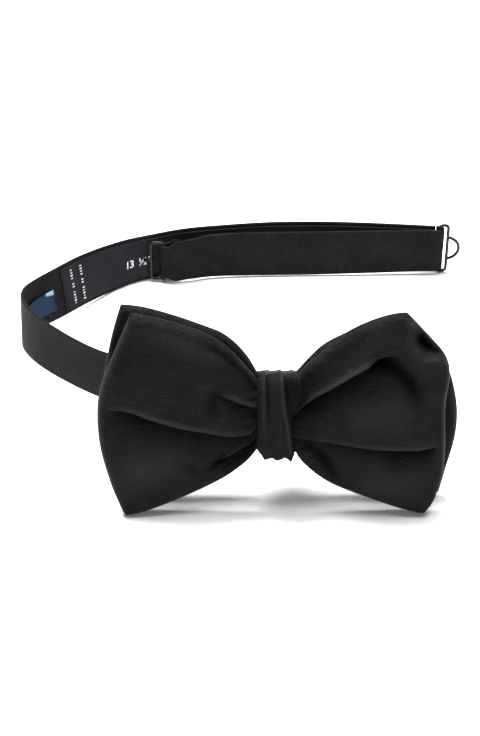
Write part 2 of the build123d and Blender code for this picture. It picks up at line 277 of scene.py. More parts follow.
EDGE_STEPS = np.array([0.0, 0.1, 0.3, 0.65, 1.1, 1.7, 2.5, 3.6])  # rows next to an edge
FOLD_STEPS = np.array([  # rows on both sides of a pleat
    -2.2, -1.6, -1.15, -0.8, -0.52, -0.3, -0.14, 0.0, 0.14, 0.3, 0.52, 0.8, 1.15, 1.6, 2.2,
])
FOLD_SPACE = 4.7  # least room from one pleat to the next
FILL = 11  # points between two pleats
WING_ROWS = 46
WING_START = 6.5  # x at which a wing leaves the waist
WING_SPAN = 50.0
WAIST_SHARES = (0.2, 0.4, 0.6, 0.8)  # rings between the two wings
WAIST_PINCH = 0.24
BACK_SHIFT = 200.0  # how far the back's cloth coordinates lie from the front's

DOME = 0.75  # how flat the swelling is across a row
WAIST_BELLY = 0.12  # share of the swelling that is left at the waist
END_DROP = 0.42  # share of the swelling that is lost towards the end
UNEVEN = 0.30  # height of the cloth's slow unevenness
RIPPLE_PITCH = 2.1
RIPPLE_REACH = 4.0  # how far the gathers of the waist run out into the wing
RIPPLE_FRONT = 0.28
RIPPLE_BACK = 0.2
LIP_TURN = 0.42  # how sharply a pleat's upper cloth turns under
LAP_REACH = 5.0  # how far from a pleat its cloth is pushed over
CREASE_PAINTED_SHADE = 0.26  # depth of a crease to its painted shade
# height of a raised crease to its painted highlight
CREASE_PAINTED_HIGHLIGHT = 0.5


STILL = [(6.5, 0.0), (7.0, 0.0)]  # the table of a pleat that only keeps the rows close


class Fold:
    """A pleat whose upper cloth laps over the lower, along a line from the waist outwards.

    Lip, over and sink are tables of x and size: how far the upper cloth stands out, how far it laps
    over and how deep the lower cloth sinks. Soft and below are how far those reach from the line.
    """

    def __init__(self, line, lip=STILL, over=STILL, sink=STILL, soft=7.0, below=4.5):
        self.line = smooth_line(line)
        self.lip = np.array(lip, float)
        self.over = np.array(over, float)
        self.sink = np.array(sink, float)
        self.soft = soft
        self.below = below

    @staticmethod
    def size(table, x):
        """A table's size at x."""
        return np.interp(x, table[:, 0], table[:, 1])


class Crease:
    """A soft valley, or a raised crest where its depth is negative. Start and end keep some depth there."""

    def __init__(self, line, depth, width, start=0.0, end=0.0):
        self.line = smooth_line(line)
        self.depth = depth
        self.width = width
        self.start = start
        self.end = end

    def depth_at(self, x, v):
        """Depth of the crease at each point."""
        gap, share = line_distance(x, v, self.line)
        bell = np.sin(np.clip(share, 0.0, 1.0) * math.pi) ** 0.7
        fade = np.maximum(bell, np.where(share < 0.5, self.start, self.end))
        return self.depth * fade * np.exp(-(gap / self.width) ** 2)


class Wing:
    """One side of a bow layer. Outlines run outwards from the waist, and its end from low to high."""

    def __init__(self, side, low, top, end, folds=(), creases=(), back_creases=(), seed=0.0):
        self.side = side
        self.low = smooth_line(low)
        self.top = smooth_line(top)
        self.end = smooth_line(end)
        self.folds = list(folds)
        self.creases = list(creases)
        self.back_creases = list(back_creases)
        self.seed = seed

    def reach(self, t):
        """How far out the wing's end lies at each share of its height."""
        heights = self.end[:, 1]
        share = (heights - heights[0]) / (heights[-1] - heights[0])
        return np.interp(t, share, self.end[:, 0])

    def span(self, s):
        """Lowest and highest v of the row at s."""
        low_x = WING_START + s * (self.end[0, 0] - WING_START)
        top_x = WING_START + s * (self.end[-1, 0] - WING_START)
        return along_x(self.low, low_x), along_x(self.top, top_x)

    def marks(self, s, low, high):
        """How far up the row each pleat lies, kept apart from its neighbours."""
        t = np.linspace(0.0, 1.0, 161)
        x = WING_START + s * (self.reach(t) - WING_START)
        v = low + t * (high - low)
        found = []
        for fold in self.folds:
            over = v - along_x(fold.line, x)
            found.append(float(np.interp(0.0, over, t)) * (high - low))
        least = EDGE_STEPS[-1] + FOLD_SPACE / 2
        most = high - low - least - FOLD_SPACE * (len(found) - 1)
        for index in range(len(found)):
            found[index] = min(max(found[index], least), most)
            least = found[index] + FOLD_SPACE
            most += FOLD_SPACE
        return found

    def heights(self, height, marks):
        """Where the points of a row lie up its height, close together at its edges and pleats."""
        parts = [EDGE_STEPS]
        last = EDGE_STEPS[-1]
        for mark in marks:
            parts.append(np.linspace(last, mark + FOLD_STEPS[0], FILL + 2)[1:-1])
            parts.append(mark + FOLD_STEPS)
            last = mark + FOLD_STEPS[-1]
        parts.append(np.linspace(last, height - EDGE_STEPS[-1], FILL + 2)[1:-1])
        parts.append(height - EDGE_STEPS[::-1])
        return np.concatenate(parts)

    def row(self, s, layer):
        """Front and back of one row, as arrays of x, v, n, its flat cloth coordinates and its painted shade
        and highlight amounts.
        """
        low, high = (float(value) for value in self.span(s))
        height = high - low
        marks = self.marks(s, low, high)
        up = self.heights(height, marks)
        t = up / height
        x = WING_START + s * (self.reach(t) - WING_START)
        v = low + up
        edge = np.minimum(up, height - up)
        rim = roll((1.0 - s) * WING_SPAN, layer.roll_end) * roll(edge, layer.roll_edge)
        dome = np.sin(np.clip(t, 0.0, 1.0) * math.pi) ** DOME
        belly = WAIST_BELLY + (1.0 - WAIST_BELLY) * ease(s, 0.0, 0.55) - END_DROP * ease(s, 0.62, 1.0)
        ripple = np.sin(v * RIPPLE_PITCH + self.seed) * np.exp(-(x - WING_START) / RIPPLE_REACH)
        inside = ease(edge, 0.4, 4.0)
        spread = ease(s, 0.05, 0.3)

        front = layer.half + layer.front_puff * dome * belly
        uneven = UNEVEN * wander(x, v, self.seed) * spread
        front = front + (uneven + RIPPLE_FRONT * ripple) * inside
        front, painted_shade, painted_highlight = self.crease_front(x, v, front, inside)
        front_v, front, painted_shade, painted_highlight = self.fold_front(s, x, v, up - np.array(marks)[:, None],
                                                        front, painted_shade, painted_highlight, inside)

        back = layer.half + layer.back_puff * dome * belly + RIPPLE_BACK * ripple * inside
        back = back + UNEVEN * wander(x, v, self.seed + 7.0) * inside * spread
        for crease in self.back_creases:
            back = back - crease.depth_at(x, v) * inside
        u = self.side * x
        front_n = layer.middle + front * rim
        back_n = layer.middle - back * rim
        flat = np.stack([x, v], axis=-1)
        return (u, front_v, front_n), (u, v, back_n), flat, np.stack([painted_shade, painted_highlight], axis=-1)

    def crease_front(self, x, v, front, inside):
        """Press the front's creases into a row, with painted shade in their valleys and a painted highlight
        on their crests.
        """
        painted_shade = np.zeros_like(v)
        painted_highlight = np.zeros_like(v)
        for crease in self.creases:
            depth = crease.depth_at(x, v) * inside
            front = front - depth
            painted_shade = painted_shade + np.maximum(depth, 0.0) * CREASE_PAINTED_SHADE
            painted_highlight = painted_highlight + np.maximum(-depth, 0.0) * CREASE_PAINTED_HIGHLIGHT
        return front, painted_shade, painted_highlight

    def fold_front(self, s, x, v, gaps, front, painted_shade, painted_highlight, inside):
        """Lap a row's pleats, with painted shade below each lip and a painted highlight along it. Gaps are
        the distances up from each pleat.
        """
        fade = 1.0 - ease(s, 0.9, 1.0)
        front_v = v.copy()
        for fold, gap in zip(self.folds, gaps):
            away = np.abs(gap)
            here = x[np.argmin(away)]
            turn = np.tanh(gap / LIP_TURN)
            above = 0.5 * (1.0 + turn) * np.exp(-away / fold.soft)
            under = 0.5 * (1.0 - turn) * np.exp(-(away / fold.below) ** 1.4)
            bead = 0.25 * np.exp(-((gap - 0.9) / 0.8) ** 2)
            lip = fold.size(fold.lip, here) * fade
            sink = fold.size(fold.sink, here) * fade
            front = front + (lip * (above + bead) - sink * under) * inside
            near = np.exp(-(away / (fold.below * 0.8)) ** 1.3)
            # Painted shade in the sink below the lip, and a painted highlight just above the pleat line.
            painted_shade = painted_shade + 0.5 * (1.0 - turn) * near * min(sink * 0.24, 1.0) * inside
            painted_highlight = painted_highlight + np.exp(-((gap - 0.8) / 1.1) ** 2) * min(lip * 0.3, 0.8) * inside
            over = fold.size(fold.over, here) * fade
            front_v = front_v - over * turn * np.exp(-away / LAP_REACH) * inside
        return front_v, front, painted_shade, painted_highlight


class Layer:
    """A folded layer of the bow, with a wing on each side of its waist."""

    def __init__(self, middle, left, right, half, front_puff, back_puff, roll_edge=2.2, roll_end=2.6):
        self.middle = middle
        self.left = left
        self.right = right
        self.half = half
        self.front_puff = front_puff
        self.back_puff = back_puff
        self.roll_edge = roll_edge
        self.roll_end = roll_end


def wing_rings(wing, layer):
    """Closed rings of one wing, from its waist to its end, their flat cloth coordinates and painted shade and
    highlight amounts.
    """
    ends = 1.0 - EDGE_STEPS[::-1] / WING_SPAN
    shares = np.concatenate([np.linspace(0.0, ends[0], WING_ROWS)[:-1], ends])
    rings = []
    flats = []
    folds = []
    for s in shares:
        front, back, flat, fold = wing.row(float(s), layer)
        front = np.stack(front, axis=-1)
        back = np.stack(back, axis=-1)
        rings.append(np.concatenate([front, back[-2:0:-1]]))
        shifted = flat + np.array([0.0, BACK_SHIFT])
        flats.append(np.concatenate([flat, shifted[-2:0:-1]]))
        folds.append(np.concatenate([fold, np.zeros_like(fold[-2:0:-1])]))
    return np.array(rings), np.array(flats), np.clip(np.array(folds), 0.0, 1.0)


def bow_piece(name, layer):
    """The whole layer in one piece: left wing, waist and right wing."""
    left, left_flat, left_painted_light = wing_rings(layer.left, layer)
    right, right_flat, right_painted_light = wing_rings(layer.right, layer)
    left_flat[..., 0] *= -1.0
    waist = []
    waist_flat = []
    for share in WAIST_SHARES:
        ring = left[0] * (1 - share) + right[0] * share
        tight = 1.0 - WAIST_PINCH * math.sin(share * math.pi)
        ring[:, 1] = WAIST_MIDDLE + (ring[:, 1] - WAIST_MIDDLE) * tight
        ring[:, 2] = layer.middle + (ring[:, 2] - layer.middle) * tight
        waist.append(ring)
        waist_flat.append(left_flat[0] * (1 - share) + right_flat[0] * share)
    rings = np.concatenate([left[::-1], waist, right])
    flats = np.concatenate([left_flat[::-1], waist_flat, right_flat])
    waist_painted_light = np.zeros((len(waist), *left_painted_light.shape[1:]))
    folds = np.concatenate([left_painted_light[::-1], waist_painted_light, right_painted_light])
    rows, columns = rings.shape[:2]
    points = from_bow(rings[..., 0], rings[..., 1], rings[..., 2]).reshape(-1, 3)
    faces = grid_faces(rows, columns, around=True)
    return make_piece(name, points, faces, flats.reshape(-1, 2), 0.015, folds.reshape(-1, 2))


def front_layer(sizes):
    """The front layer's outlines, pleats and dents."""
    left = Wing(
        side=-1,
        low=[(6.3, 26.0), (8.6, 22.6), (12.0, 19.1), (18.0, 14.4), (28.8, 8.3), (42.4, 1.9),
             (50.9, -0.4)],
        top=[(6.3, 52.2), (8.6, 55.0), (11.4, 58.6), (15.0, 62.9), (21.6, 68.2), (30.5, 71.9),
             (39.0, 74.6), (47.0, 76.4)],
        end=[(50.9, -0.4), (53.2, 6.0), (55.5, 13.4), (58.4, 27.1), (58.9, 39.7), (57.6, 49.0), (54.6, 57.6),
             (50.8, 67.0), (47.0, 76.4)],
        folds=[
            Fold([(6.5, 29.6), (9.5, 28.6), (12.5, 27.0), (16.5, 24.0), (21.5, 20.8), (30.0, 16.0)],
                 lip=[(6.5, 0.8), (12.0, 1.3), (19.0, 0.7), (23.0, 0.0)],
                 over=[(6.5, 0.5), (12.0, 1.2), (18.0, 0.5), (22.0, 0.0)],
                 sink=[(6.5, 2.6), (11.0, 4.8), (16.0, 3.6), (22.0, 0.0)], soft=5.0, below=4.2),
            Fold([(6.5, 34.2), (14.4, 33.6), (19.6, 34.7), (31.0, 38.4), (43.7, 42.4), (49.0, 43.2),
                  (56.0, 42.8)],
                 lip=[(6.5, 1.4), (16.0, 1.8), (32.0, 2.6), (44.0, 2.4), (51.0, 1.1), (56.0, 0.0)],
                 over=[(6.5, 0.6), (16.0, 0.9), (32.0, 1.0), (44.0, 0.8), (50.0, 0.3), (54.0, 0.0)],
                 sink=[(6.5, 1.4), (16.0, 2.4), (28.0, 4.2), (42.0, 5.6), (50.0, 3.0), (56.0, 0.0)],
                 soft=9.0, below=5.4),
            Fold([(6.5, 43.3), (12.0, 45.8), (16.0, 47.2), (22.0, 48.6), (30.0, 50.0)],
                 lip=[(6.5, 1.3), (12.0, 2.0), (16.5, 1.2), (19.5, 0.0)],
                 over=[(6.5, 0.4), (12.0, 0.8), (16.0, 0.4), (18.5, 0.0)],
                 sink=[(6.5, 1.4), (12.0, 2.6), (16.5, 1.6), (20.0, 0.0)], soft=4.5, below=3.2),
        ],
        creases=[
            Crease([(16.5, 49.5), (20.5, 47.5), (20.5, 42.5), (18.0, 40.5)], 1.9, 1.9),
            Crease([(7.0, 50.0), (11.0, 56.0), (15.0, 60.0), (19.0, 63.5), (25.0, 66.0)], 1.9, 1.3,
                   start=0.9),
            Crease([(17.5, 27.5), (19.0, 23.5), (22.5, 19.5)], 2.2, 1.7),
            Crease([(14.0, 57.0), (24.0, 63.0), (38.0, 68.5), (45.0, 70.0)], -0.7, 2.6),
            Crease([(30.0, 24.0), (42.0, 22.0), (54.0, 20.0)], -0.7, 7.0, end=0.5),
            Crease([(22.0, 15.5), (28.0, 21.0), (33.0, 27.0)], 0.7, 3.0),
        ],
        seed=1.3,
    )
    right = Wing(
        side=1,
        low=[(6.3, 25.0), (8.3, 21.4), (13.6, 16.0), (19.8, 11.8), (30.3, 7.1), (41.8, 2.6), (50.1, 0.3)],
        top=[(6.3, 52.6), (8.5, 55.8), (11.5, 59.2), (15.8, 63.6), (20.0, 67.6), (24.9, 71.0), (31.0, 74.0),
             (36.5, 75.8), (41.4, 76.6)],
        end=[(50.1, 0.3), (52.8, 5.0), (54.3, 10.0), (55.7, 17.0), (56.0, 24.8), (55.8, 32.0), (55.4, 39.0),
             (55.4, 45.0), (55.9, 50.0), (56.2, 54.6), (55.4, 59.0), (53.2, 63.0), (48.8, 68.2), (45.0, 72.6),
             (41.4, 76.6)],
        folds=[
            Fold([(6.5, 31.4), (12.0, 31.0), (18.3, 30.6), (29.9, 30.0), (46.0, 29.3), (54.0, 28.6)],
                 lip=[(6.5, 0.9), (18.0, 1.2), (32.0, 2.0), (46.0, 2.6), (50.0, 1.6), (53.0, 0.0)],
                 over=[(6.5, 0.4), (18.0, 0.5), (32.0, 0.8), (46.0, 0.9), (50.0, 0.4), (52.5, 0.0)],
                 sink=[(6.5, 1.0), (18.0, 1.8), (32.0, 4.0), (42.0, 6.6), (49.5, 6.6), (52.5, 0.0)],
                 soft=8.0, below=3.3),
            Fold([(6.5, 41.6), (9.5, 44.6), (13.9, 49.6), (17.7, 53.8), (22.6, 57.9), (26.4, 60.6),
                  (30.4, 62.2), (34.0, 62.8), (42.0, 62.0)],
                 lip=[(6.5, 1.2), (12.0, 2.4), (22.0, 3.2), (29.0, 2.8), (34.0, 1.2), (39.0, 0.0)],
                 over=[(6.5, 0.4), (12.0, 0.9), (22.0, 1.0), (29.0, 0.8), (34.0, 0.3), (38.0, 0.0)],
                 sink=[(6.5, 2.0), (12.0, 4.4), (22.0, 5.4), (29.0, 4.6), (35.0, 2.4), (40.0, 0.0)],
                 soft=7.0, below=5.0),
            Fold([(6.5, 49.6), (12.0, 58.0), (20.0, 66.0), (30.0, 71.0), (41.0, 74.0)]),
        ],
        creases=[
            Crease([(33.0, 60.5), (37.5, 58.5), (41.5, 54.5), (44.5, 49.0), (46.5, 44.0)], 3.4, 2.6,
                   start=0.8),
            Crease([(10.0, 29.0), (12.6, 27.2), (16.8, 22.0), (20.2, 15.5)], 2.5, 1.6, start=0.6),
            Crease([(42.5, 75.5), (44.2, 68.0), (45.6, 60.0)], -1.2, 1.8, start=0.9),
            Crease([(44.4, 70.6), (46.4, 67.0), (48.8, 64.4), (51.0, 63.2)], 4.2, 1.8,
                   start=0.3, end=0.5),
            Crease([(45.4, 60.4), (49.4, 61.0), (54.2, 60.2)], -0.9, 1.4, end=0.7),
            Crease([(8.0, 47.0), (14.0, 56.0), (22.0, 64.5), (32.0, 70.0)], 1.3, 5.0, start=0.9),
            Crease([(22.0, 40.0), (34.0, 42.0), (46.0, 40.0)], -0.8, 7.0),
            Crease([(26.0, 14.0), (38.0, 14.0), (50.0, 13.0)], -0.6, 6.0),
        ],
        seed=4.2,
    )
    return Layer(
        middle=0.0, left=left, right=right, half=mm(sizes.layer_half), front_puff=mm(sizes.bow_puff),
        back_puff=0.8,
    )


def rear_layer():
    """The rear layer's outlines and folds, seen past the front one at its corners."""
    left = Wing(
        side=-1,
        low=[(6.3, 29.0), (8.6, 26.4), (12.0, 23.2), (18.0, 18.4), (28.8, 12.4), (42.4, 6.6), (50.2, 4.6)],
        top=[(6.3, 50.2), (9.4, 56.0), (13.6, 61.3), (17.9, 64.9), (23.4, 67.4), (33.1, 71.2), (42.8, 74.2),
             (50.6, 75.4)],
        end=[(50.2, 4.6), (54.4, 14.0), (57.2, 27.0), (57.9, 38.0), (57.2, 47.3), (55.4, 57.0), (53.2, 66.7),
             (50.6, 75.4)],
        folds=[Fold([(6.5, 41.0), (30.0, 41.0), (57.0, 41.0)])],
        creases=[Crease([(49.0, 72.0), (51.8, 62.0), (54.6, 52.0)], 0.9, 1.6, start=0.5)],
        back_creases=[
            Crease([(8.0, 40.0), (20.0, 41.0), (36.0, 44.0)], 1.6, 2.4, start=0.9),
            Crease([(8.0, 47.0), (18.0, 53.0), (30.0, 60.0)], 1.2, 2.2, start=0.9),
            Crease([(8.0, 33.0), (18.0, 28.0), (30.0, 22.0)], 1.2, 2.2, start=0.9),
        ],
        seed=2.6,
    )
    right = Wing(
        side=1,
        low=[(6.3, 29.0), (8.3, 26.4), (13.6, 20.6), (19.8, 16.4), (30.3, 11.4), (43.0, 6.2), (55.4, 3.6)],
        top=[(6.3, 50.2), (10.4, 55.4), (15.8, 61.0), (24.9, 66.0), (33.0, 68.0), (40.0, 68.4), (45.2, 67.6)],
        end=[(55.4, 3.6), (56.6, 9.0), (57.8, 15.0), (59.6, 23.4), (60.4, 31.0), (59.9, 39.0), (58.0, 47.6),
             (55.6, 54.6), (53.6, 58.4), (49.8, 62.8), (45.2, 67.6)],
        folds=[Fold([(6.5, 41.0), (30.0, 41.0), (60.0, 41.0)])],
        creases=[Crease([(58.4, 14.0), (59.2, 30.0), (57.4, 46.0)], -0.6, 1.6)],
        back_creases=[
            Crease([(8.0, 42.0), (20.0, 42.0), (36.0, 40.0)], 1.6, 2.4, start=0.9),
            Crease([(8.0, 48.0), (18.0, 55.0), (30.0, 62.0)], 1.2, 2.2, start=0.9),
            Crease([(8.0, 34.0), (18.0, 27.0), (30.0, 20.0)], 1.2, 2.2, start=0.9),
        ],
        seed=5.9,
    )
    return Layer(middle=-8.0, left=left, right=right, half=1.9, front_puff=1.4, back_puff=1.5)


# --------------------------------------------------------------------------------------------------
# Knot wrap

WRAP_ROUTE = [  # v and n round the waist, from the foot of its front
    (25.6, 4.9), (31.0, 6.1), (38.0, 6.6), (45.0, 6.9), (50.6, 6.9), (54.0, 6.2), (55.4, 4.2),
    (54.4, 1.2), (52.6, -2.0), (50.8, -5.2), (49.2, -8.6), (47.6, -12.0), (46.2, -14.9),
    (43.4, -15.9), (40.0, -15.9), (36.0, -15.9), (31.4, -15.0), (28.2, -12.4), (26.2, -8.0),
    (25.2, -3.5), (24.8, 1.0), (25.6, 4.9),
]
WRAP_CENTRE = np.array([WAIST_MIDDLE, -5.0])
WRAP_WIDTH = 14.0
WRAP_LEFT = -6.4
WRAP_RIGHT = 7.4
WRAP_LAP = 1.55  # how far the lapped cloth stands off the cloth under it
LAP_BEAD = 0.45  # how far the lap's own edge stands out
WRAP_FOOT = 25.4
WRAP_TOP = 55.5


def bump_at(distance, width):
    """A rounded bump that is 1 at distance 0."""
    return np.exp(-(distance / width) ** 2)


def wrap_piece(name, sizes):
    """Wrinkled wrap round the waist and over the neck band, closed at the back."""
    path = smooth_line(WRAP_ROUTE, steps=9)
    rows = len(path) - 1
    path = path[:rows]
    around = np.roll(path, -1, axis=0) - np.roll(path, 1, axis=0)
    around /= np.linalg.norm(around, axis=1)[:, None]
    out = np.stack([-around[:, 1], around[:, 0]], axis=1)
    out = out * np.sign(np.sum(out * (path - WRAP_CENTRE), axis=1))[:, None]
    width = np.concatenate([
        [0.0, 0.008, 0.025, 0.05, 0.08], np.linspace(0.11, 0.89, 52), [0.92, 0.95, 0.975, 0.992, 1.0],
    ])
    v = path[:, :1]
    n = path[:, 1:]
    is_front = ease(n, -2.0, 3.0)

    # The front's left edge draws in at the foot, and its right one is tucked under the lap.
    low_end = 1.0 - ease(v, 23.8, 31.0)
    lap = 2.1 + 3.2 * (1.0 - ease(v, 25.0, 56.0))
    left = WRAP_LEFT + is_front * (0.15 * np.sin(v * 0.35) + 2.9 * low_end ** 1.6)
    tucked = np.maximum(lap + 0.7, 4.8 + 3.0 * ease(v, 40.0, 50.0))
    right = WRAP_RIGHT + is_front * (tucked - WRAP_RIGHT)
    u = left + (right - left) * width[None, :]

    # The lap, its wrinkles and its creases push the cloth off the path.
    over = 1.0 - ease(u, lap - 0.25, lap + 0.55)
    bead = bump_at(u - lap + 0.55, 0.5)
    drift = 0.4 * np.sin(v * 0.11 + 0.6)
    wrinkle = 0.16 * np.sin((u + drift) * 1.5 + 0.8) + 0.09 * np.sin((u - drift) * 3.1 + v * 0.07)
    pucker = 0.12 * np.sin(u * 3.0 + 0.4) * bump_at(v - WRAP_TOP, 2.4) * is_front
    left_ridge = 0.55 * bump_at(u + 4.1, 0.6) * ease(v, 34.0, 46.0)
    left_dip = -0.80 * bump_at(u + 2.9 + 0.02 * (v - WAIST_MIDDLE), 0.7) * ease(v, 36.0, 48.0)
    under_creases = 0.25 * np.sin(u * 3.4) * (1.0 - over) * ease(v, 44.0, 50.0)
    step = is_front * (WRAP_LAP * over + LAP_BEAD * bead - 1.15) + (1.0 - is_front) * 0.1
    push = step + wrinkle + pucker + (left_ridge + left_dip + under_creases) * is_front
    foot_wave = 0.30 * np.sin(u * 1.3 + 1.2) * bump_at(v - WRAP_FOOT, 1.6) * is_front
    grown = np.stack([np.broadcast_to(v, u.shape) - foot_wave, np.broadcast_to(n, u.shape)], axis=-1)
    grown = grown + out[:, None, :] * push[..., None]
    middle = from_bow(u, grown[..., 0], grown[..., 1])
    side = np.broadcast_to(out[:, None, :], grown.shape)
    normal = from_bow(np.zeros_like(u), side[..., 0], side[..., 1])

    edge = np.minimum(width, 1.0 - width) * WRAP_WIDTH
    thick = mm(sizes.wrap_thick) * np.maximum(roll(edge, 0.7), 0.12)
    lengths = np.concatenate([[0.0], np.cumsum(np.linalg.norm(np.diff(path, axis=0), axis=1))])
    uv = np.stack([u, np.broadcast_to(lengths[:, None], u.shape)], axis=-1)
    # Painted shade on the tucked cloth under the lap, in left_dip and along the left edge; painted highlight
    # on the lap's bead and on left_ridge.
    painted_shade = is_front * (0.62 * (1.0 - over) + np.maximum(-left_dip, 0.0) * 0.7)
    painted_shade = painted_shade + is_front * 0.5 * bump_at(u - left, 0.9)
    painted_highlight = is_front * (0.7 * bead * ease(v, 24.0, 36.0) + left_ridge)
    folds = np.clip(np.stack([painted_shade, painted_highlight], axis=-1), 0.0, 1.0)
    return slab(name, middle, normal, np.broadcast_to(thick, u.shape), uv, closed=True, folds=folds)


BINDING_ROUTE = [  # v and n round the waist, under the wrap
    (28.6, 3.2), (34.0, 4.3), (41.0, 4.8), (47.0, 4.6), (50.6, 3.6), (51.6, 1.6), (50.4, -1.6),
    (48.6, -5.0), (46.9, -8.2), (44.8, -10.8), (41.6, -11.9), (38.0, -11.9), (32.6, -10.8),
    (29.6, -7.6), (28.4, -3.4), (28.0, 0.2), (28.6, 3.2),
]
BINDING_CENTRE = np.array([WAIST_MIDDLE, -3.5])
BINDING_TURNS = 5
BINDING_PITCH = 0.9
BINDING_THICK = 0.7
BINDING_SIDES = 8


def binding_piece(name):
    """Turns of thread that gather the layers at the waist, under the wrap."""
    loop = smooth_line(BINDING_ROUTE, steps=8)[:-1]
    turns = np.arange(BINDING_TURNS * len(loop) + 1)
    path = loop[turns % len(loop)]
    u = (turns / len(loop) - BINDING_TURNS / 2) * BINDING_PITCH
    out = path - BINDING_CENTRE
    out /= np.linalg.norm(out, axis=1)[:, None]
    angle = 2 * math.pi * np.arange(BINDING_SIDES) / BINDING_SIDES
    radius = BINDING_THICK / 2
    round_u = u[:, None] + radius * np.cos(angle)[None, :]
    lifted = path[:, None, :] + out[:, None, :] * (radius * np.sin(angle))[None, :, None]
    points = from_bow(round_u, lifted[..., 0], lifted[..., 1]).reshape(-1, 3)
    uvs = np.stack([np.repeat(turns * 1.0, BINDING_SIDES), np.tile(angle, len(turns))], axis=1)
    return make_piece(name, points, cord_faces(len(turns), BINDING_SIDES), uvs, merge=THREAD_MERGE)


# --------------------------------------------------------------------------------------------------
# Straps

BAND_WIDTH = 19.5
BAND_THICK = 1.2
SEWN_GAP = 0.05  # room between the band's face and the tape sewn to it
FAR_ROUTE = [  # x, y and z of the band's foot, and how far its upper edge leans in x and y
    (-31.0, 22.6, 25.2, 0.3, 3.6), (-46.0, 29.6, 20.8, 0.6, 2.8), (-61.4, 41.7, 16.0, 0.8, 2.2),
    (-75.5, 55.2, 12.5, 0.9, 3.0), (-85.4, 66.8, 10.2, 1.0, 3.8), (-90.6, 77.5, 8.0, 0.6, 4.2),
    (-89.6, 86.0, 6.2, -0.8, 4.4), (-84.6, 93.4, 4.6, -2.0, 4.6), (-78.6, 100.6, 3.0, -2.6, 5.0),
    (-71.4, 109.2, 1.6, -2.2, 5.2), (-65.3, 115.6, 0.6, -1.2, 5.0), (-59.8, 120.6, 0.0, -0.4, 4.0),
    (-54.0, 124.6, 0.0, 0.0, 2.6), (-46.6, 127.8, 0.0, 0.0, 1.8), (-33.3, 132.0, 0.0, 0.0, 1.6),
    (-16.6, 134.6, 0.0, 0.0, 1.5), (0.0, 136.3, 0.0, 0.0, 1.4), (17.0, 136.8, 0.0, 0.0, 1.2),
    (34.0, 136.2, 0.2, 0.0, 0.9), (50.5, 134.7, 0.8, 0.0, 0.4), (62.4, 133.3, 1.4, 0.0, 0.0),
]
TAPE_FROM = (-77.0, 102.5, 2.7, -2.5, 5.05)
TAPE_TURN = 9  # the first far station after the tape's start
HOLES_FROM = -46.2
HOLE_STEP = 25.4 * 0.985
HOLE_COUNT = 5
HOLE_HALF_LENGTH = 2.75
SLIT_HALF_HEIGHT = 0.22
USED_HOLE = (-47.2, 1.7, 0.72)  # x, half length and half height of the hole that the tongue holds open
ADJUSTER_BAR = (-40.6, 126.2, 1.9)  # x, y and z of the foot of the hem round it
HEM_HEIGHT = 15.6
RIM_STEPS = np.array([0.0, 0.05, 0.16, 0.34, 0.6, 1.0])  # points next to a strap's edge
CLOTH_STEP = 1.1
LOOK_AHEAD = 0.4
SWAY_DENTS = (  # how far left of the tie's origin, width and depth
    (56.8, 1.7, 0.40), (60.8, 1.5, -0.50), (66.5, 1.8, -0.30),
)


def knot_station(x, back, foot, high, thick):
    """A strap station behind the bow, where the strap leans back with it."""
    base = from_bow(x, WAIST_MIDDLE - BAND_WIDTH / 2, -back)
    rise = BAND_WIDTH * math.sin(LEAN)
    return (float(base[0]), float(base[1]), float(base[2]), 0.0, rise, foot, high, thick)


def full_width(stations, thick):
    """Stations that carry the strap's whole width, with its foot, its head and its thickness."""
    return [(*station, 0.0, BAND_WIDTH, thick) for station in stations]


class Strip:
    """A strap's smooth middle surface, which other pieces are laid on."""

    def __init__(self, stations, spacing=1.0, extra=()):
        line = smooth_line(stations, steps=14)
        total = travel(line)[-1]
        lengths = np.linspace(0.0, total, max(int(total / spacing), 8))
        lengths = np.unique(np.concatenate([lengths, [value for value in extra if 0 < value < total]]))
        self.lengths = lengths
        self.line = line
        self.total = total

    def at_x(self, x):
        """Length along the strap's last rise through x."""
        along = travel(self.line)
        inside = np.nonzero((self.line[:-1, 0] < x) & (self.line[1:, 0] >= x))[0][-1]
        share = (x - self.line[inside, 0]) / (self.line[inside + 1, 0] - self.line[inside, 0])
        return along[inside] + share * (along[inside + 1] - along[inside])

    def frame(self, lengths):
        """Station values, up and side directions at given lengths."""
        here = sample(self.line, lengths)
        ahead = sample(self.line, np.minimum(lengths + LOOK_AHEAD, self.total))[:, :3]
        behind = sample(self.line, np.maximum(lengths - LOOK_AHEAD, 0.0))[:, :3]
        along = ahead - behind
        along /= np.linalg.norm(along, axis=1)[:, None]
        lean_x, lean_y = here[:, 3], here[:, 4]
        rise = np.sqrt(BAND_WIDTH ** 2 - lean_x ** 2 - lean_y ** 2)
        up = np.stack([lean_x, lean_y, rise], axis=1) / BAND_WIDTH
        side = np.cross(along, up)
        side /= np.linalg.norm(side, axis=1)[:, None]
        return here, up, side

    def outward(self, length, out):
        """The way off the strap's face at one length, on the face that out's sign gives."""
        return self.frame(np.array([length]))[2][0] * math.copysign(1.0, out)

    def place(self, lengths, heights, out, swaying=False):
        """Points on the strap: lengths along it, heights from its foot and distance off its face."""
        here, up, side = self.frame(lengths)
        if swaying:
            out = out + band_sway(here[:, 0], here[:, 1], heights)
        return here[:, :3] + up * heights[:, None] + side * out[:, None]


def band_sway(x, y, level):
    """How far the band's cloth wanders off its smooth middle, and all that is sewn to it with it."""
    far = ease(y, 96.0, 104.0)
    dents = sum(depth * bump_at(x + place, width) for place, width, depth in SWAY_DENTS)
    sway = 0.20 * wander((x + y) * 0.8, level, 0.7) + far * dents
    return sway * ease(np.minimum(level, BAND_WIDTH - level), 0.3, 3.5)


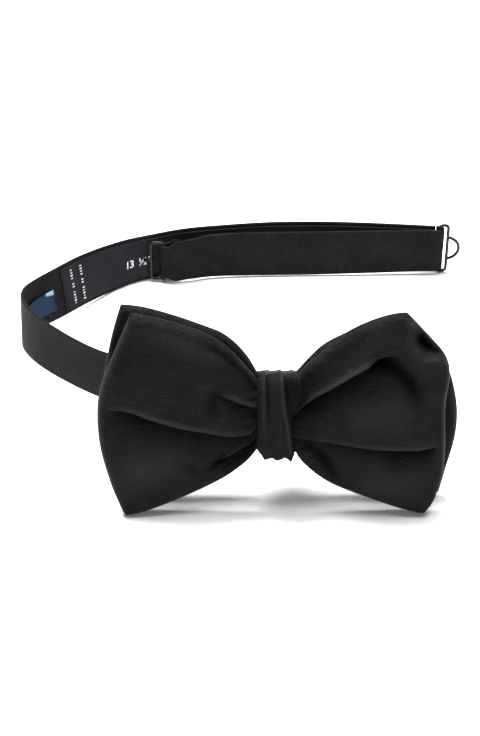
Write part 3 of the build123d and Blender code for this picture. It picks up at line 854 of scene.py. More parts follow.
def strap_piece(name, strip, offset=0.0, low=0.0, high=None, thick=None, holes=(), waves=None, seed=0.0):
    """A strap of cloth along a strip, with rounded edges and any buttonholes.

    Offset is how far its middle lies off the strip. Low and high narrow it. Waves is the height of its
    own unevenness, in place of the band's sway.
    """
    here, up, side = strip.frame(strip.lengths)
    foot = here[:, 5] + low
    head = here[:, 6] if high is None else here[:, 5] + high
    width = float(np.max(head - foot))
    marks = [value - low for hole in holes for value in (hole[1] - hole[3], hole[1] + hole[3])]
    inner = np.arange(RIM_STEPS[-1] + 0.9, width - RIM_STEPS[-1] - 0.5, CLOTH_STEP)
    heights = np.unique(np.concatenate([RIM_STEPS, inner, marks, width - RIM_STEPS]))
    share = heights / width
    level = foot[:, None] + (head - foot)[:, None] * share[None, :]
    distance = np.broadcast_to(strip.lengths[:, None], level.shape)
    if waves is None:
        sway = band_sway(here[:, 0:1], here[:, 1:2], level)
    else:
        calm = ease(np.minimum(share, 1 - share), 0.02, 0.25)[None, :]
        sway = waves * wander(distance * 0.9, level, seed) * calm
    middle = here[:, None, :3] + up[:, None, :] * level[..., None]
    middle = middle + side[:, None, :] * (offset + sway)[..., None]
    edge = np.minimum(heights, width - heights)
    cloth = here[:, 7] if thick is None else np.full(len(here), thick)
    ends = np.minimum(strip.lengths - strip.lengths[0], strip.lengths[-1] - strip.lengths)
    round_edge = np.maximum(roll(edge, np.max(cloth) * 0.55), 0.14)[None, :]
    round_end = np.maximum(roll(ends, 0.5), 0.4)[:, None]
    body = round_edge * round_end
    keep = np.ones((len(strip.lengths) - 1, len(heights) - 1), bool)
    middle_s = (strip.lengths[1:] + strip.lengths[:-1]) / 2
    middle_h = (heights[1:] + heights[:-1]) / 2 + low
    for length, level_at, half_length, half_height in holes:
        in_length = np.abs(middle_s - length) < half_length
        in_height = np.abs(middle_h - level_at) < half_height
        keep &= ~(in_length[:, None] & in_height[None, :])
    uv = np.stack([distance, level], axis=-1)
    normal = np.broadcast_to(side[:, None, :], middle.shape)
    return slab(name, middle, normal, cloth[:, None] * body, uv, keep)


def far_strip(extra=()):
    """The far side's strip on its own, from the tape's start to the eye."""
    return Strip(full_width([TAPE_FROM, *FAR_ROUTE[TAPE_TURN:]], BAND_THICK), extra=extra)


def hole_list(strip):
    """Length, height, half length and half height of each buttonhole on a strip."""
    x, half_length, half_height = USED_HOLE
    holes = [(strip.at_x(x), BAND_WIDTH / 2, half_length, half_height)]
    for number in range(1, HOLE_COUNT):
        length = strip.at_x(HOLES_FROM + number * HOLE_STEP)
        holes.append((length, BAND_WIDTH / 2, HOLE_HALF_LENGTH, SLIT_HALF_HEIGHT))
    return holes


def hole_ends(holes):
    """Lengths at which the buttonholes begin and end."""
    return [value for hole in holes for value in (hole[0] - hole[2], hole[0] + hole[2])]


def band_stations():
    """The neck band from its tail at the tab hook, round the hook's bar, to the eye."""
    low, high = 1.95, 17.55
    tab = [
        knot_station(39.4, 15.25, low, high, 0.95), knot_station(42.0, 15.35, low, high, 1.0),
        knot_station(44.6, 15.4, low, high, 1.0), knot_station(45.95, 15.0, low, high, 1.0),
        knot_station(46.4, 14.0, low, high, 1.0), knot_station(45.95, 13.0, low, high, 1.0),
        knot_station(44.6, 12.6, low, high, 1.0), knot_station(42.0, 12.95, low, high, 1.05),
        knot_station(39.0, 13.6, 1.2, 18.3, 1.1), knot_station(35.5, 13.95, 0.3, 19.2, 1.2),
        knot_station(31.0, 14.0, 0.0, BAND_WIDTH, 1.2),
    ]
    knot = [
        knot_station(22.0, 14.0, 0.0, BAND_WIDTH, BAND_THICK), knot_station(14.0, 14.0, 0.3, 18.6, 1.2),
        knot_station(5.5, 14.0, 1.8, 14.0, 1.2), knot_station(-5.5, 14.0, 1.8, 14.0, 1.2),
        knot_station(-12.0, 14.0, 0.4, 18.2, 1.2),
        knot_station(-19.0, 14.3, 0.0, BAND_WIDTH, BAND_THICK),
    ]
    return tab + knot + full_width(FAR_ROUTE, BAND_THICK)


def return_stations():
    """The return strap from its tail behind the adjuster, round the bar, to the eye and back."""
    x, y, z = ADJUSTER_BAR
    high = HEM_HEIGHT
    hem = [
        (x + 5.7, y + 0.95, -1.2, 17.0), (x + 3.2, y + 1.25, -1.2, 17.0), (x + 1.8, y + 1.4, 0.0, high),
        (x - 0.95, y + 1.0, 0.1, high), (x - 1.4, y, 0.1, high), (x - 0.95, y - 1.0, 0.1, high),
        (x + 1.9, y - 1.3, 0.0, high), (x + 3.6, y - 1.1, -1.3, 17.4), (x + 5.8, y - 0.7, -1.2, 17.6),
    ]
    stations = [(px, py, z, 0.0, 0.0, foot, head, 1.0) for px, py, foot, head in hem]
    stations += [
        (-30.0, 126.5, 1.4, 0.0, 0.4, -0.6, 18.2, 1.2), (-22.6, 128.1, 0.6, 0.0, 1.2, 0.0, 19.3, 1.2),
        (-8.0, 129.1, 0.3, 0.0, 1.6, 0.0, 19.5, 1.2), (17.0, 129.7, 0.3, 0.0, 1.6, 0.0, 19.5, 1.2),
        (41.0, 130.2, 0.8, 0.0, 1.0, 0.0, 19.5, 1.2), (56.0, 130.5, 1.3, 0.0, 0.2, 0.0, 19.5, 1.2),
        (63.4, 130.5, 1.4, 0.0, 0.0, 0.0, 19.5, 1.1), (64.9, 130.95, 1.4, 0.0, 0.0, 0.0, 19.5, 1.05),
        (65.35, 131.9, 1.4, 0.0, 0.0, 0.0, 19.5, 1.05), (64.9, 132.85, 1.4, 0.0, 0.0, 0.0, 19.5, 1.05),
        (63.6, 133.28, 1.4, 0.0, 0.0, 0.0, 19.5, 1.1), (62.6, 133.3, 1.4, 0.0, 0.0, 0.0, 19.5, 1.15),
    ]
    return stations


LABEL_STATIONS = [  # as the far route's
    (-89.9, 84.6, 6.5, -0.6, 4.4), (-87.6, 89.2, 5.5, -1.3, 4.5), (-84.6, 93.4, 4.6, -2.0, 4.6),
    (-80.4, 98.4, 3.5, -2.4, 4.9),
]
LABEL_LOW = 4.4
LABEL_HIGH = 12.4
LABEL_OFF = 0.95  # how far its back lies off the band's middle


# --------------------------------------------------------------------------------------------------
# Thread and print

STITCH_SIDES = 8
STITCH_RINGS = 7
PLY_DEPTH = 0.12  # grooves between the two plies of the thread
PLY_TWIST = 5.0
BACK_SEAM_PITCH = 1.7
BACK_STITCH = 1.2
RIM_STITCHES = 46
RIM_REACH = np.array([-0.12, 0.28, 0.68])  # start, middle and end of a rim stitch from the hole's edge
RIM_THICK = 0.26
RIM_FRONT = 1.06  # off the band's middle, on the tape
RIM_BACK = -0.62
PRINT_OFF = 0.02
NUMERALS = (("one", "1", -56.3), ("three", "3", -54.7), ("half", "½", -51.2))
NUMERAL_FOOT = 7.4
PRINT_ROWS = (-73.9, -70.8)
PRINT_FROM = 16.2
DASHES = (0, 1, 2, 3, 5, 6, 8, 9, 10, 11, 12)
DASH_PITCH = 1.1
DASH_THICK = 0.04


def thread_stitches(name, places, thick, plump=1.0):
    """Short twisted stitches joined in one piece. Each place is a middle, a half step and a way out."""
    points, faces, uvs = [], [], []
    for centre, half, out in places:
        centre, half, out = (np.asarray(item, float) for item in (centre, half, out))
        length = np.linalg.norm(half)
        across = np.cross(half / length, out)
        start = len(points)
        for ring in range(STITCH_RINGS):
            t = -1.0 + 2.0 * ring / (STITCH_RINGS - 1)
            round_end = math.sqrt(max(1.0 - abs(t) ** 3, 0.04))
            sink = -0.5 * thick * abs(t) ** 2.5
            for step in range(STITCH_SIDES):
                turn = 2 * math.pi * step / STITCH_SIDES
                ply = 1.0 + PLY_DEPTH * math.cos(2 * turn + PLY_TWIST * t)
                radius = thick / 2 * round_end * ply
                point = centre + half * t + out * (sink + radius * math.sin(turn) * plump)
                points.append(point + across * radius * math.cos(turn))
                uvs.append((t * length, step * thick * 0.4))
        faces += cord_faces(STITCH_RINGS, STITCH_SIDES, start)
    return make_piece(name, np.array(points), faces, uvs, merge=THREAD_MERGE)


def seam_places(strip, length, low, high, out, pitch=2.2, gap=0.7, swaying=True):
    """Stitches one after another up a strap."""
    places = []
    for foot in np.arange(low, high - pitch + gap, pitch):
        mid = foot + (pitch - gap) / 2
        heights = np.array([foot, mid, foot + pitch - gap])
        ends = strip.place(np.full(3, length), heights, np.full(3, out), swaying)
        places.append((ends[1], (ends[2] - ends[0]) / 2, strip.outward(length, out)))
    return places


def back_seam(u, heights, n, slant):
    """Stitches one above another on the back of the bow. Slant is half of each one's run across."""
    half, out = from_bow(slant, BACK_STITCH / 2, 0.0), from_bow(0.0, 0.0, -1.0)
    return [(from_bow(u, v, n), half, out) for v in heights]


def rim_places(strip, hole, out):
    """Buttonhole stitches square to the edge of one hole, on one face of a strap."""
    length, height, half_length, half_height = hole
    straight = half_length - half_height
    half_round = math.pi * half_height
    places = []
    for number in range(RIM_STITCHES):
        way = number / RIM_STITCHES * (4 * straight + 2 * half_round)
        if way < 2 * straight:
            middle, normal = (-straight + way, half_height), (0.0, 1.0)
        elif way < 2 * straight + half_round:
            turn = (way - 2 * straight) / half_height
            normal = (math.sin(turn), math.cos(turn))
            middle = (straight + half_height * normal[0], half_height * normal[1])
        elif way < 4 * straight + half_round:
            middle, normal = (straight - (way - 2 * straight - half_round), -half_height), (0.0, -1.0)
        else:
            turn = (way - 4 * straight - half_round) / half_height
            normal = (-math.sin(turn), -math.cos(turn))
            middle = (-straight + half_height * normal[0], half_height * normal[1])
        lengths = length + middle[0] + normal[0] * RIM_REACH
        heights = height + middle[1] + normal[1] * RIM_REACH
        ends = strip.place(lengths, heights, np.full(3, out), swaying=True)
        places.append((ends[1], (ends[2] - ends[0]) / 2, strip.outward(length, out)))
    return places


def print_on(piece, strip, length, height, out, turned=False):
    """Lay a flat mesh, drawn in millimetres, on a strap's face."""
    count = len(piece.data.vertices)
    flat = np.zeros(count * 3)
    piece.data.vertices.foreach_get("co", flat)
    flat = flat.reshape(-1, 3)
    x, y = (flat[:, 1], -flat[:, 0]) if turned else (flat[:, 0], flat[:, 1])
    placed = to_row(strip.place(length + x, height + y, out + flat[:, 2], swaying=True))
    piece.data.vertices.foreach_set("co", placed.astype(np.float32).ravel())
    piece.data.update()


def size_text(words, height):
    """Plain numerals as a thin closed mesh at the origin, in millimetres."""
    bpy.ops.object.select_all(action="DESELECT")
    bpy.ops.object.text_add(location=(0, 0, 0))
    text = bpy.context.object
    text.data.body = words
    text.data.size = height * 1.38
    text.data.extrude = 0.02
    text.data.offset = 0.03
    text.data.resolution_u = 3
    bpy.ops.object.convert(target="MESH")
    bpy.ops.object.mode_set(mode="EDIT")
    bpy.ops.mesh.select_all(action="SELECT")
    bpy.ops.mesh.remove_doubles(threshold=0.001)
    bpy.ops.mesh.normals_make_consistent(inside=False)
    bpy.ops.object.mode_set(mode="OBJECT")
    return bpy.context.object


def print_dashes(seed):
    """Rows of short printed bars in place of small print, in millimetres."""
    bpy.ops.object.select_all(action="DESELECT")
    bars = []
    for number in DASHES:
        bpy.ops.mesh.primitive_cube_add(size=1.0, location=(number * DASH_PITCH, 0.0, 0.0))
        bar = bpy.context.object
        tall = 0.75 + 0.35 * abs(math.sin(number * 2.4 + seed))
        wide = 0.22 + 0.26 * abs(math.cos(number * 1.7 + seed))
        bar.data.transform(Matrix.Diagonal((wide, tall, DASH_THICK, 1.0)))
        bpy.ops.object.transform_apply(location=True, rotation=True, scale=True)
        bpy.ops.object.mode_set(mode="EDIT")
        bpy.ops.mesh.select_all(action="SELECT")
        bpy.ops.mesh.bevel(offset=0.012, segments=1)
        bpy.ops.object.mode_set(mode="OBJECT")
        bars.append(bar)
    for bar in bars:
        bar.select_set(True)
    bpy.context.view_layer.objects.active = bars[0]
    bpy.ops.object.join()
    return bpy.context.object


# --------------------------------------------------------------------------------------------------
# Materials

OBJECT_PLACE = 3  # the Texture Coordinate node's object output
MIX_FIRST, MIX_SECOND, MIX_COLOUR = 6, 7, 2  # the Mix node's colour sockets

WARP_PITCH = 0.00034  # yarns of the satin, tape and label, in metres
WEFT_PITCH = 0.00052
HERRINGBONE_REPEAT = 0.0016
TAPE_RIB_PITCH = 0.00062
TAPE_YARN_PITCH = 0.0004
LABEL_RIB_PITCH = 0.00036
LABEL_CROSS_PITCH = 0.0005
THREAD_TWIST = 16000.0


class Value:
    """A node's output that takes part in ordinary arithmetic."""

    def __init__(self, maker, socket):
        self.maker = maker
        self.socket = socket

    def maths(self, operation, first, second):
        """The result of one Math node."""
        return self.maker.node("ShaderNodeMath", {"operation": operation}, {0: first, 1: second})

    def __add__(self, other):
        return self.maths("ADD", self, other)

    __radd__ = __add__

    def __sub__(self, other):
        return self.maths("SUBTRACT", self, other)

    def __rsub__(self, other):
        return self.maths("SUBTRACT", other, self)

    def __mul__(self, other):
        return self.maths("MULTIPLY", self, other)

    __rmul__ = __mul__


class Maker:
    """Builds the nodes of one material."""

    def __init__(self, name):
        self.material = bpy.data.materials.new(name)
        self.material.use_nodes = True
        self.tree = self.material.node_tree
        self.tree.nodes.clear()

    def node(self, kind, settings=None, inputs=None, output=0):
        """One output of a new node, with its settings made before its inputs are joined."""
        node = self.tree.nodes.new(kind)
        for key, value in (settings or {}).items():
            setattr(node, key, value)
        for key, value in (inputs or {}).items():
            if isinstance(value, Value):
                self.tree.links.new(value.socket, node.inputs[key])
            else:
                node.inputs[key].default_value = value
        return Value(self, node.outputs[output])

    def place(self):
        """The piece's own object coordinates."""
        return self.node("ShaderNodeTexCoord", None, None, OBJECT_PLACE)

    def cloth(self):
        """Coordinates on the cloth as laid flat, in metres."""
        return self.node("ShaderNodeUVMap", {"uv_map": CLOTH_UV})

    def rise(self, value, low, high):
        """A straight rise from 0 at low to 1 at high."""
        return self.node("ShaderNodeMapRange", None, {0: value, 1: low, 2: high, 3: 0.0, 4: 1.0})

    def ribs(self, value, pitch):
        """Waves from -1 to 1 that repeat at a pitch."""
        return self.sine(value * (2 * math.pi / pitch))

    def sine(self, value):
        """The sine of a value in radians."""
        return self.node("ShaderNodeMath", {"operation": "SINE"}, {0: value})

    def noise(self, vector, scale, detail=2.0, rough=0.5):
        """Cloudy unevenness, about 0.5 on average."""
        inputs = {"Vector": vector, "Scale": scale, "Detail": detail, "Roughness": rough}
        return self.node("ShaderNodeTexNoise", None, inputs)

    def stretch(self, vector, scale, turn=0.0):
        """Coordinates scaled along each axis and turned."""
        inputs = {"Vector": vector, "Scale": scale, "Rotation": (0.0, 0.0, turn)}
        return self.node("ShaderNodeMapping", None, inputs)

    def parts(self, vector):
        """The three parts of a vector."""
        split = self.node("ShaderNodeSeparateXYZ", None, {0: vector})
        return [Value(self, socket) for socket in split.socket.node.outputs]

    def mix(self, share, first, second):
        """A plain colour, or one made by other nodes, turned towards a plain one."""
        first = first if isinstance(first, Value) else (*first, 1.0)
        inputs = {0: share, MIX_FIRST: first, MIX_SECOND: (*second, 1.0)}
        return self.node("ShaderNodeMix", {"data_type": "RGBA"}, inputs, MIX_COLOUR)

    def finish(self, colour, rough, height, depth, **constants):
        """Join colour, roughness and relief to the surface, with the constants on its own sockets."""
        bump = self.node("ShaderNodeBump", None, {"Height": height, "Distance": depth, "Strength": 1.0})
        inputs = {"Base Color": colour, "Roughness": rough, "Normal": bump}
        inputs.update(constants)
        shader = self.node("ShaderNodeBsdfPrincipled", None, inputs)
        out = self.tree.nodes.new("ShaderNodeOutputMaterial")
        self.tree.links.new(shader.socket, out.inputs["Surface"])
        return self.material


def satin(name, colours, turn=0.0):
    """Black silk satin: fine yarns with a long float, slubs, painted shade in its folds, painted highlights
    on their lips and a little unevenness.
    """
    make = Maker(name)
    cloth = make.cloth()
    turned = make.stretch(cloth, (1.0, 1.0, 1.0), turn)
    x, y, _ = make.parts(turned)
    warp = make.ribs(x, WARP_PITCH)
    weft = make.sine(y * (2 * math.pi / WEFT_PITCH) + warp * 0.9)
    floats = make.noise(make.stretch(turned, (5200.0, 650.0, 1.0)), 1.0, 1.0)
    slub = make.noise(make.stretch(turned, (150.0, 2400.0, 1.0)), 1.0, 2.0)
    grain = make.noise(cloth, 1700.0, 3.0, 0.75)
    cloudy = make.noise(cloth, 70.0, 3.0)
    share = (grain - 0.5) * 2.3 + (cloudy - 0.5) * 0.9 + (slub - 0.5) * 0.8 + 0.45
    woven = make.mix(share, colours.satin_dark, colours.satin_light)
    # Painted shade and painted highlight amounts from the fold uv map darken and lighten the woven colour.
    painted_shade, painted_highlight, _ = make.parts(make.node("ShaderNodeUVMap", {"uv_map": PAINTED_LIGHT_UV}))
    lifted = make.mix(painted_highlight * 0.75, woven, colours.satin_painted_highlight)
    colour = make.mix(painted_shade * 0.88, lifted, colours.satin_painted_shade)
    rough = 0.42 + grain * 0.14 + cloudy * 0.08
    height = warp * 0.22 + weft * 0.14 + floats * 0.6 + slub * 0.5 + grain * 1.3
    return make.finish(colour, rough, height, 0.00013, **{"Specular IOR Level": 0.018})


def thread(name, colours):
    """Black sewing thread with a twist."""
    make = Maker(name)
    place = make.place()
    x, y, z = make.parts(place)
    twist = make.sine((x + y + z) * THREAD_TWIST)
    fuzz = make.noise(place, 2600.0, 2.0)
    colour = make.mix(twist * 0.3 + fuzz * 0.6, colours.thread_dark, colours.thread)
    return make.finish(colour, 0.5 + fuzz * 0.3, twist * 0.5 + fuzz * 0.4, 0.00006,
                       **{"Specular IOR Level": 0.06})


def tape(name, colours):
    """Dark grey size tape in a fine herringbone."""
    make = Maker(name)
    cloth = make.cloth()
    x, y, _ = make.parts(cloth)
    zigzag = make.node("ShaderNodeMath", {"operation": "PINGPONG"}, {0: y, 1: HERRINGBONE_REPEAT})
    ribs = make.ribs(x + zigzag, TAPE_RIB_PITCH)
    yarn = make.ribs(y, TAPE_YARN_PITCH)
    fuzz = make.noise(cloth, 1900.0, 3.0, 0.7)
    cloudy = make.noise(cloth, 90.0, 2.0)
    share = ribs * 0.16 + fuzz * 0.65 + cloudy * 0.35 - 0.02
    colour = make.mix(share, colours.tape_dark, colours.tape_light)
    return make.finish(colour, 0.62 + fuzz * 0.22, ribs * 0.6 + yarn * 0.3 + fuzz * 0.5, 0.00009,
                       **{"Specular IOR Level": 0.03})


def label(name, colours):
    """Navy label in a damask weave, with the paler patch of its turned corner."""
    make = Maker(name)
    cloth = make.cloth()
    x, y, _ = make.parts(cloth)
    ribs = make.ribs(y, LABEL_RIB_PITCH)
    cross = make.ribs(x, LABEL_CROSS_PITCH)
    fuzz = make.noise(cloth, 2100.0, 2.0)
    glow = make.noise(cloth, 160.0, 2.0)
    share = ribs * 0.12 + fuzz * 0.5 + glow * 0.55 - 0.1
    woven = make.mix(share, colours.label_dark, colours.label_light)
    turned = make.rise(x, 0.0125, 0.0135) * make.rise(y + x * 0.2, 0.0138, 0.0142)
    colour = make.mix(turned, woven, colours.label_back)
    return make.finish(colour, 0.38 + fuzz * 0.2, ribs * 0.5 + cross * 0.3 + fuzz * 0.4, 0.00007,
                       **{"Specular IOR Level": 0.06})


def ink(name, colours):
    """White print that has sunk a little into the tape."""
    make = Maker(name)
    place = make.place()
    speck = make.noise(place, 2400.0, 2.0)
    worn = make.noise(place, 600.0, 2.0)
    colour = make.mix(speck * 0.7 + worn * 0.5 - 0.1, colours.ink_dark, colours.ink)
    return make.finish(colour, 0.6 + speck * 0.3, speck, 0.00004)


def wire(name, colours):
    """Black lacquered wire with worn glints and fine drawing lines."""
    make = Maker(name)
    place = make.place()
    pits = make.noise(place, 1800.0, 3.0)
    worn = make.noise(place, 420.0, 4.0, 0.65)
    drawn = make.noise(make.stretch(place, (3000.0, 3000.0, 260.0)), 1.0, 2.0)
    rub = make.rise(worn, 0.60, 0.72)
    colour = make.mix(rub, colours.wire, colours.wire_worn)
    rough = 0.26 + pits * 0.16 + drawn * 0.10
    height = pits * 0.6 + drawn * 0.5 - rub * 0.4
    return make.finish(colour, rough, height, 0.00004, **{
        "Metallic": rub * 0.4, "Coat Weight": 0.05 - rub * 0.04, "Specular IOR Level": 0.14,
    })


def paper(name):
    """Pale studio floor."""
    make = Maker(name)
    place = make.place()
    tooth = make.noise(place, 240.0, 2.0)
    colour = make.mix(tooth, (0.93, 0.93, 0.93), (0.96, 0.96, 0.96))
    return make.finish(colour, 0.9 + tooth * 0.05, tooth, 0.00002, **{"Specular IOR Level": 0.1})


def material(name):
    """The finish of that name, made once."""
    found = bpy.data.materials.get(name)
    if found:
        return found
    colours = bpy.context.scene.tie_colours
    makers = {
        "black_satin": lambda: satin(name, colours),
        "strap_satin": lambda: satin(name, colours, math.pi / 2),
        "sewing_thread": lambda: thread(name, colours),
        "size_tape_cloth": lambda: tape(name, colours),
        "navy_label_cloth": lambda: label(name, colours),
        "white_print": lambda: ink(name, colours),
        "lacquered_wire": lambda: wire(name, colours),
        "studio_paper": lambda: paper(name),
    }
    return makers[name]()


def dress(piece, finish):
    """Give a piece its finish in place of any it has."""
    piece.data.materials.clear()
    piece.data.materials.append(material(finish))


def mm(length):
    """A property's metres as millimetres."""
    return length * MM


def settle(piece, finish, body=None, replaces=()):
    """Finish a new piece: its material, its body and what it stands for."""
    dress(piece, finish)
    if body:
        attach(piece, body)
    if replaces:
        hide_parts(*replaces)


def stretch_with_eye(piece):
    """Bake a far-side piece's transform into its mesh."""
    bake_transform(piece)


# --------------------------------------------------------------------------------------------------
# Properties a user would change

def length_property(name, description, default):
    """A length in metres that a user may change."""
    return bpy.props.FloatProperty(
        name=name, description=description, default=default, min=0.0, subtype="DISTANCE", unit="LENGTH",
    )


def colour_property(name, description, default):
    """A colour that a user may change."""
    return bpy.props.FloatVectorProperty(
        name=name, description=description, default=default, size=3, min=0.0, max=1.0, subtype="COLOR",
    )


class TieSizes(bpy.types.PropertyGroup):
    """Sizes of the cloth pieces."""
    layer_half: length_property("Layer half depth", "Half the depth of a layer at its rolled edge", 0.0021)
    bow_puff: length_property("Bow puff", "How far the front of the bow swells past its edges", 0.0040)
    wrap_thick: length_property("Wrap thickness", "Thickness of the folded satin round the knot", 0.0013)
    tape_thick: length_property("Tape thickness", "Thickness of the size tape", 0.00035)
    tape_margin: length_property("Tape margin", "Satin that shows on each side of the tape", 0.0013)
    label_thick: length_property("Label thickness", "Thickness of the woven label", 0.0004)
    numeral_height: length_property("Numeral height", "Height of the printed size numerals", 0.0033)
    stitch_thick: length_property("Stitch thickness", "Thickness of the sewing thread", 0.00034)


class TieColours(bpy.types.PropertyGroup):
    """Colours of the finishes."""
    satin_dark: colour_property("Satin shade", "Satin between its floats", (0.0034, 0.0034, 0.0037))
    # Painted highlight colour for the lips of folds, and painted shade colour deep in folds.
    satin_painted_highlight: colour_property("Satin ridge", "Satin on the edge of a fold", (0.0300, 0.0300, 0.0320))
    satin_painted_shade: colour_property("Satin hollow", "Satin deep in a fold", (0.0010, 0.0010, 0.0010))
    satin_light: colour_property("Satin light", "Satin on its floats", (0.0172, 0.0168, 0.0174))
    thread: colour_property("Thread", "Sewing thread", (0.010, 0.010, 0.011))
    thread_dark: colour_property("Thread shade", "Thread in its grooves", (0.008, 0.008, 0.009))
    tape_dark: colour_property("Tape shade", "Size tape between its ribs", (0.010, 0.010, 0.0115))
    tape_light: colour_property("Tape light", "Size tape on its ribs", (0.026, 0.025, 0.030))
    label_dark: colour_property("Label shade", "Navy label in its shaded weave", (0.001, 0.008, 0.022))
    label_light: colour_property("Label light", "Navy label in its lit weave", (0.005, 0.034, 0.084))
    label_back: colour_property("Label back", "Turned corner of the label", (0.22, 0.36, 0.48))
    ink: colour_property("Print", "Printed size numerals", (0.85, 0.85, 0.86))
    ink_dark: colour_property("Print shade", "Print where it has sunk in", (0.45, 0.45, 0.46))
    wire: colour_property("Wire", "Black lacquer on the wire", (0.006, 0.006, 0.0065))
    wire_worn: colour_property("Worn wire", "Wire where its lacquer has worn", (0.11, 0.11, 0.115))


# --------------------------------------------------------------------------------------------------
# Operators

class TIE_OT_front_bow(bpy.types.Operator):
    """Make the front layer of the bow"""
    bl_idname = "tie.front_bow"
    bl_label = "Front Bow"

    def execute(self, context):
        piece = bow_piece("front_bow_satin", front_layer(context.scene.tie_sizes))
        settle(piece, "black_satin", "root", ("front_bow", "front_bow_interlining"))
        return {"FINISHED"}


class TIE_OT_rear_bow(bpy.types.Operator):
    """Make the rear layer of the bow"""
    bl_idname = "tie.rear_bow"
    bl_label = "Rear Bow"

    def execute(self, context):
        piece = bow_piece("rear_bow_satin", rear_layer())
        settle(piece, "black_satin", "root", ("rear_bow", "rear_bow_interlining"))
        return {"FINISHED"}


class TIE_OT_knot_wrap(bpy.types.Operator):
    """Make the wrap round the waist of the bow, the thread under it and the stitches that close it"""
    bl_idname = "tie.knot_wrap"
    bl_label = "Knot Wrap"

    def execute(self, context):
        sizes = context.scene.tie_sizes
        piece = wrap_piece("knot_wrap_satin", sizes)
        settle(piece, "black_satin", "root", ("knot_wrap", "knot_wrap_interlining"))
        binding = binding_piece("waist_binding")
        settle(binding, "sewing_thread", "root", ("binding_thread",))
        places = back_seam(0.4, np.arange(34.0, 47.0, BACK_SEAM_PITCH), -16.72, 0.25)
        closing = thread_stitches("knot_closing_stitches", places, mm(sizes.stitch_thick))
        settle(closing, "sewing_thread", "root", ("knot_stitches",))
        return {"FINISHED"}


class TIE_OT_neck_band(bpy.types.Operator):
    """Make the neck band from the tab hook to the eye"""
    bl_idname = "tie.neck_band"
    bl_label = "Neck Band"

    def execute(self, context):
        stations = band_stations()
        holes = hole_list(Strip(stations))
        strip = Strip(stations, extra=hole_ends(holes))
        piece = strap_piece("neck_band_satin", strip, holes=holes)
        settle(piece, "strap_satin", None, ("neck_band", "neck_band_interlining"))
        stretch_with_eye(piece)
        return {"FINISHED"}


class TIE_OT_size_tape(bpy.types.Operator):
    """Sew the size tape on the far side, with its numerals and small print"""
    bl_idname = "tie.size_tape"
    bl_label = "Size Tape"

    def execute(self, context):
        sizes = context.scene.tie_sizes
        holes = hole_list(far_strip())
        strip = far_strip(hole_ends(holes))
        margin = mm(sizes.tape_margin)
        thick = mm(sizes.tape_thick)
        offset = BAND_THICK / 2 + SEWN_GAP + thick / 2
        piece = strap_piece("size_tape_weave", strip, offset, margin, BAND_WIDTH - margin, thick, holes)
        settle(piece, "size_tape_cloth", None, ("size_tape",))
        stretch_with_eye(piece)
        face = offset + thick / 2
        for name, words, x in NUMERALS:
            numeral = size_text(words, mm(sizes.numeral_height))
            numeral.name = f"size_numeral_{name}"
            print_on(numeral, strip, strip.at_x(x), NUMERAL_FOOT, face + PRINT_OFF)
            settle(numeral, "white_print", "root")
        for number, x in enumerate(PRINT_ROWS):
            dashes = print_dashes(number * 1.9)
            dashes.name = f"small_print_{number + 1}"
            print_on(dashes, strip, strip.at_x(x), PRINT_FROM, face + PRINT_OFF, turned=True)
            settle(dashes, "white_print", "root")
        seam = seam_places(strip, 1.0, 1.8, BAND_WIDTH - 1.8, face + 0.05)
        stitches = thread_stitches("tape_seam", seam, mm(sizes.stitch_thick))
        settle(stitches, "sewing_thread", "root", ("tape_stitches",))
        return {"FINISHED"}


class TIE_OT_buttonholes(bpy.types.Operator):
    """Work thread round each buttonhole on both faces"""
    bl_idname = "tie.buttonholes"
    bl_label = "Buttonholes"

    def execute(self, context):
        strip = far_strip()
        places = []
        for hole in hole_list(strip):
            places += rim_places(strip, hole, RIM_FRONT)
            places += rim_places(strip, hole, RIM_BACK)
        piece = thread_stitches("buttonhole_rims", places, RIM_THICK, plump=0.9)
        settle(piece, "sewing_thread", None, ("buttonhole_stitching",))
        stretch_with_eye(piece)
        return {"FINISHED"}


class TIE_OT_label(bpy.types.Operator):
    """Sew the navy label on the inner face of the turn"""
    bl_idname = "tie.label"
    bl_label = "Woven Label"

    def execute(self, context):
        sizes = context.scene.tie_sizes
        thick = mm(sizes.label_thick)
        strip = Strip(full_width(LABEL_STATIONS, thick), 0.5)
        piece = strap_piece("navy_label", strip, LABEL_OFF + thick / 2, LABEL_LOW, LABEL_HIGH, thick)
        settle(piece, "navy_label_cloth", "root", ("woven_label",))
        places = []
        for length in (0.7, strip.total - 0.7):
            places += seam_places(strip, length, 4.9, 12.0, LABEL_OFF + thick + 0.08, 1.5, 0.4)
        stitches = thread_stitches("label_stitches", places, mm(sizes.stitch_thick) * 0.8)
        settle(stitches, "sewing_thread", "root")
        return {"FINISHED"}


class TIE_OT_return_strap(bpy.types.Operator):
    """Make the strap that doubles back from the eye to the adjuster, and its hem stitches"""
    bl_idname = "tie.return_strap"
    bl_label = "Return Strap"

    def execute(self, context):
        sizes = context.scene.tie_sizes
        strip = Strip(return_stations(), 0.8)
        piece = strap_piece("return_strap_satin", strip, waves=0.16, seed=2.0)
        replaced = ("return_strap", "return_strap_interlining", "return_strap_hem", "strap_fold")
        settle(piece, "strap_satin", None, replaced)
        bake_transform(piece)
        places = []
        for x in (-38.3, -34.9):
            places += seam_places(strip, strip.at_x(x), -0.4, 16.6, 0.60, 1.7, 0.5, swaying=False)
        stitches = thread_stitches("hem_seams", places, mm(sizes.stitch_thick) * 0.9)
        settle(stitches, "sewing_thread", "adjuster_end", ("hem_stitches",))
        return {"FINISHED"}


class TIE_OT_tab_seam(bpy.types.Operator):
    """Sew down the tail of the neck band at the tab hook"""
    bl_idname = "tie.tab_seam"
    bl_label = "Tab Seam"

    def execute(self, context):
        places = back_seam(40.6, np.arange(34.4, 48.0, BACK_SEAM_PITCH) + 0.6, -15.95, 0.0)
        stitches = thread_stitches("tab_seam", places, mm(context.scene.tie_sizes.stitch_thick))
        settle(stitches, "sewing_thread", "root", ("tab_stitches",))
        return {"FINISHED"}


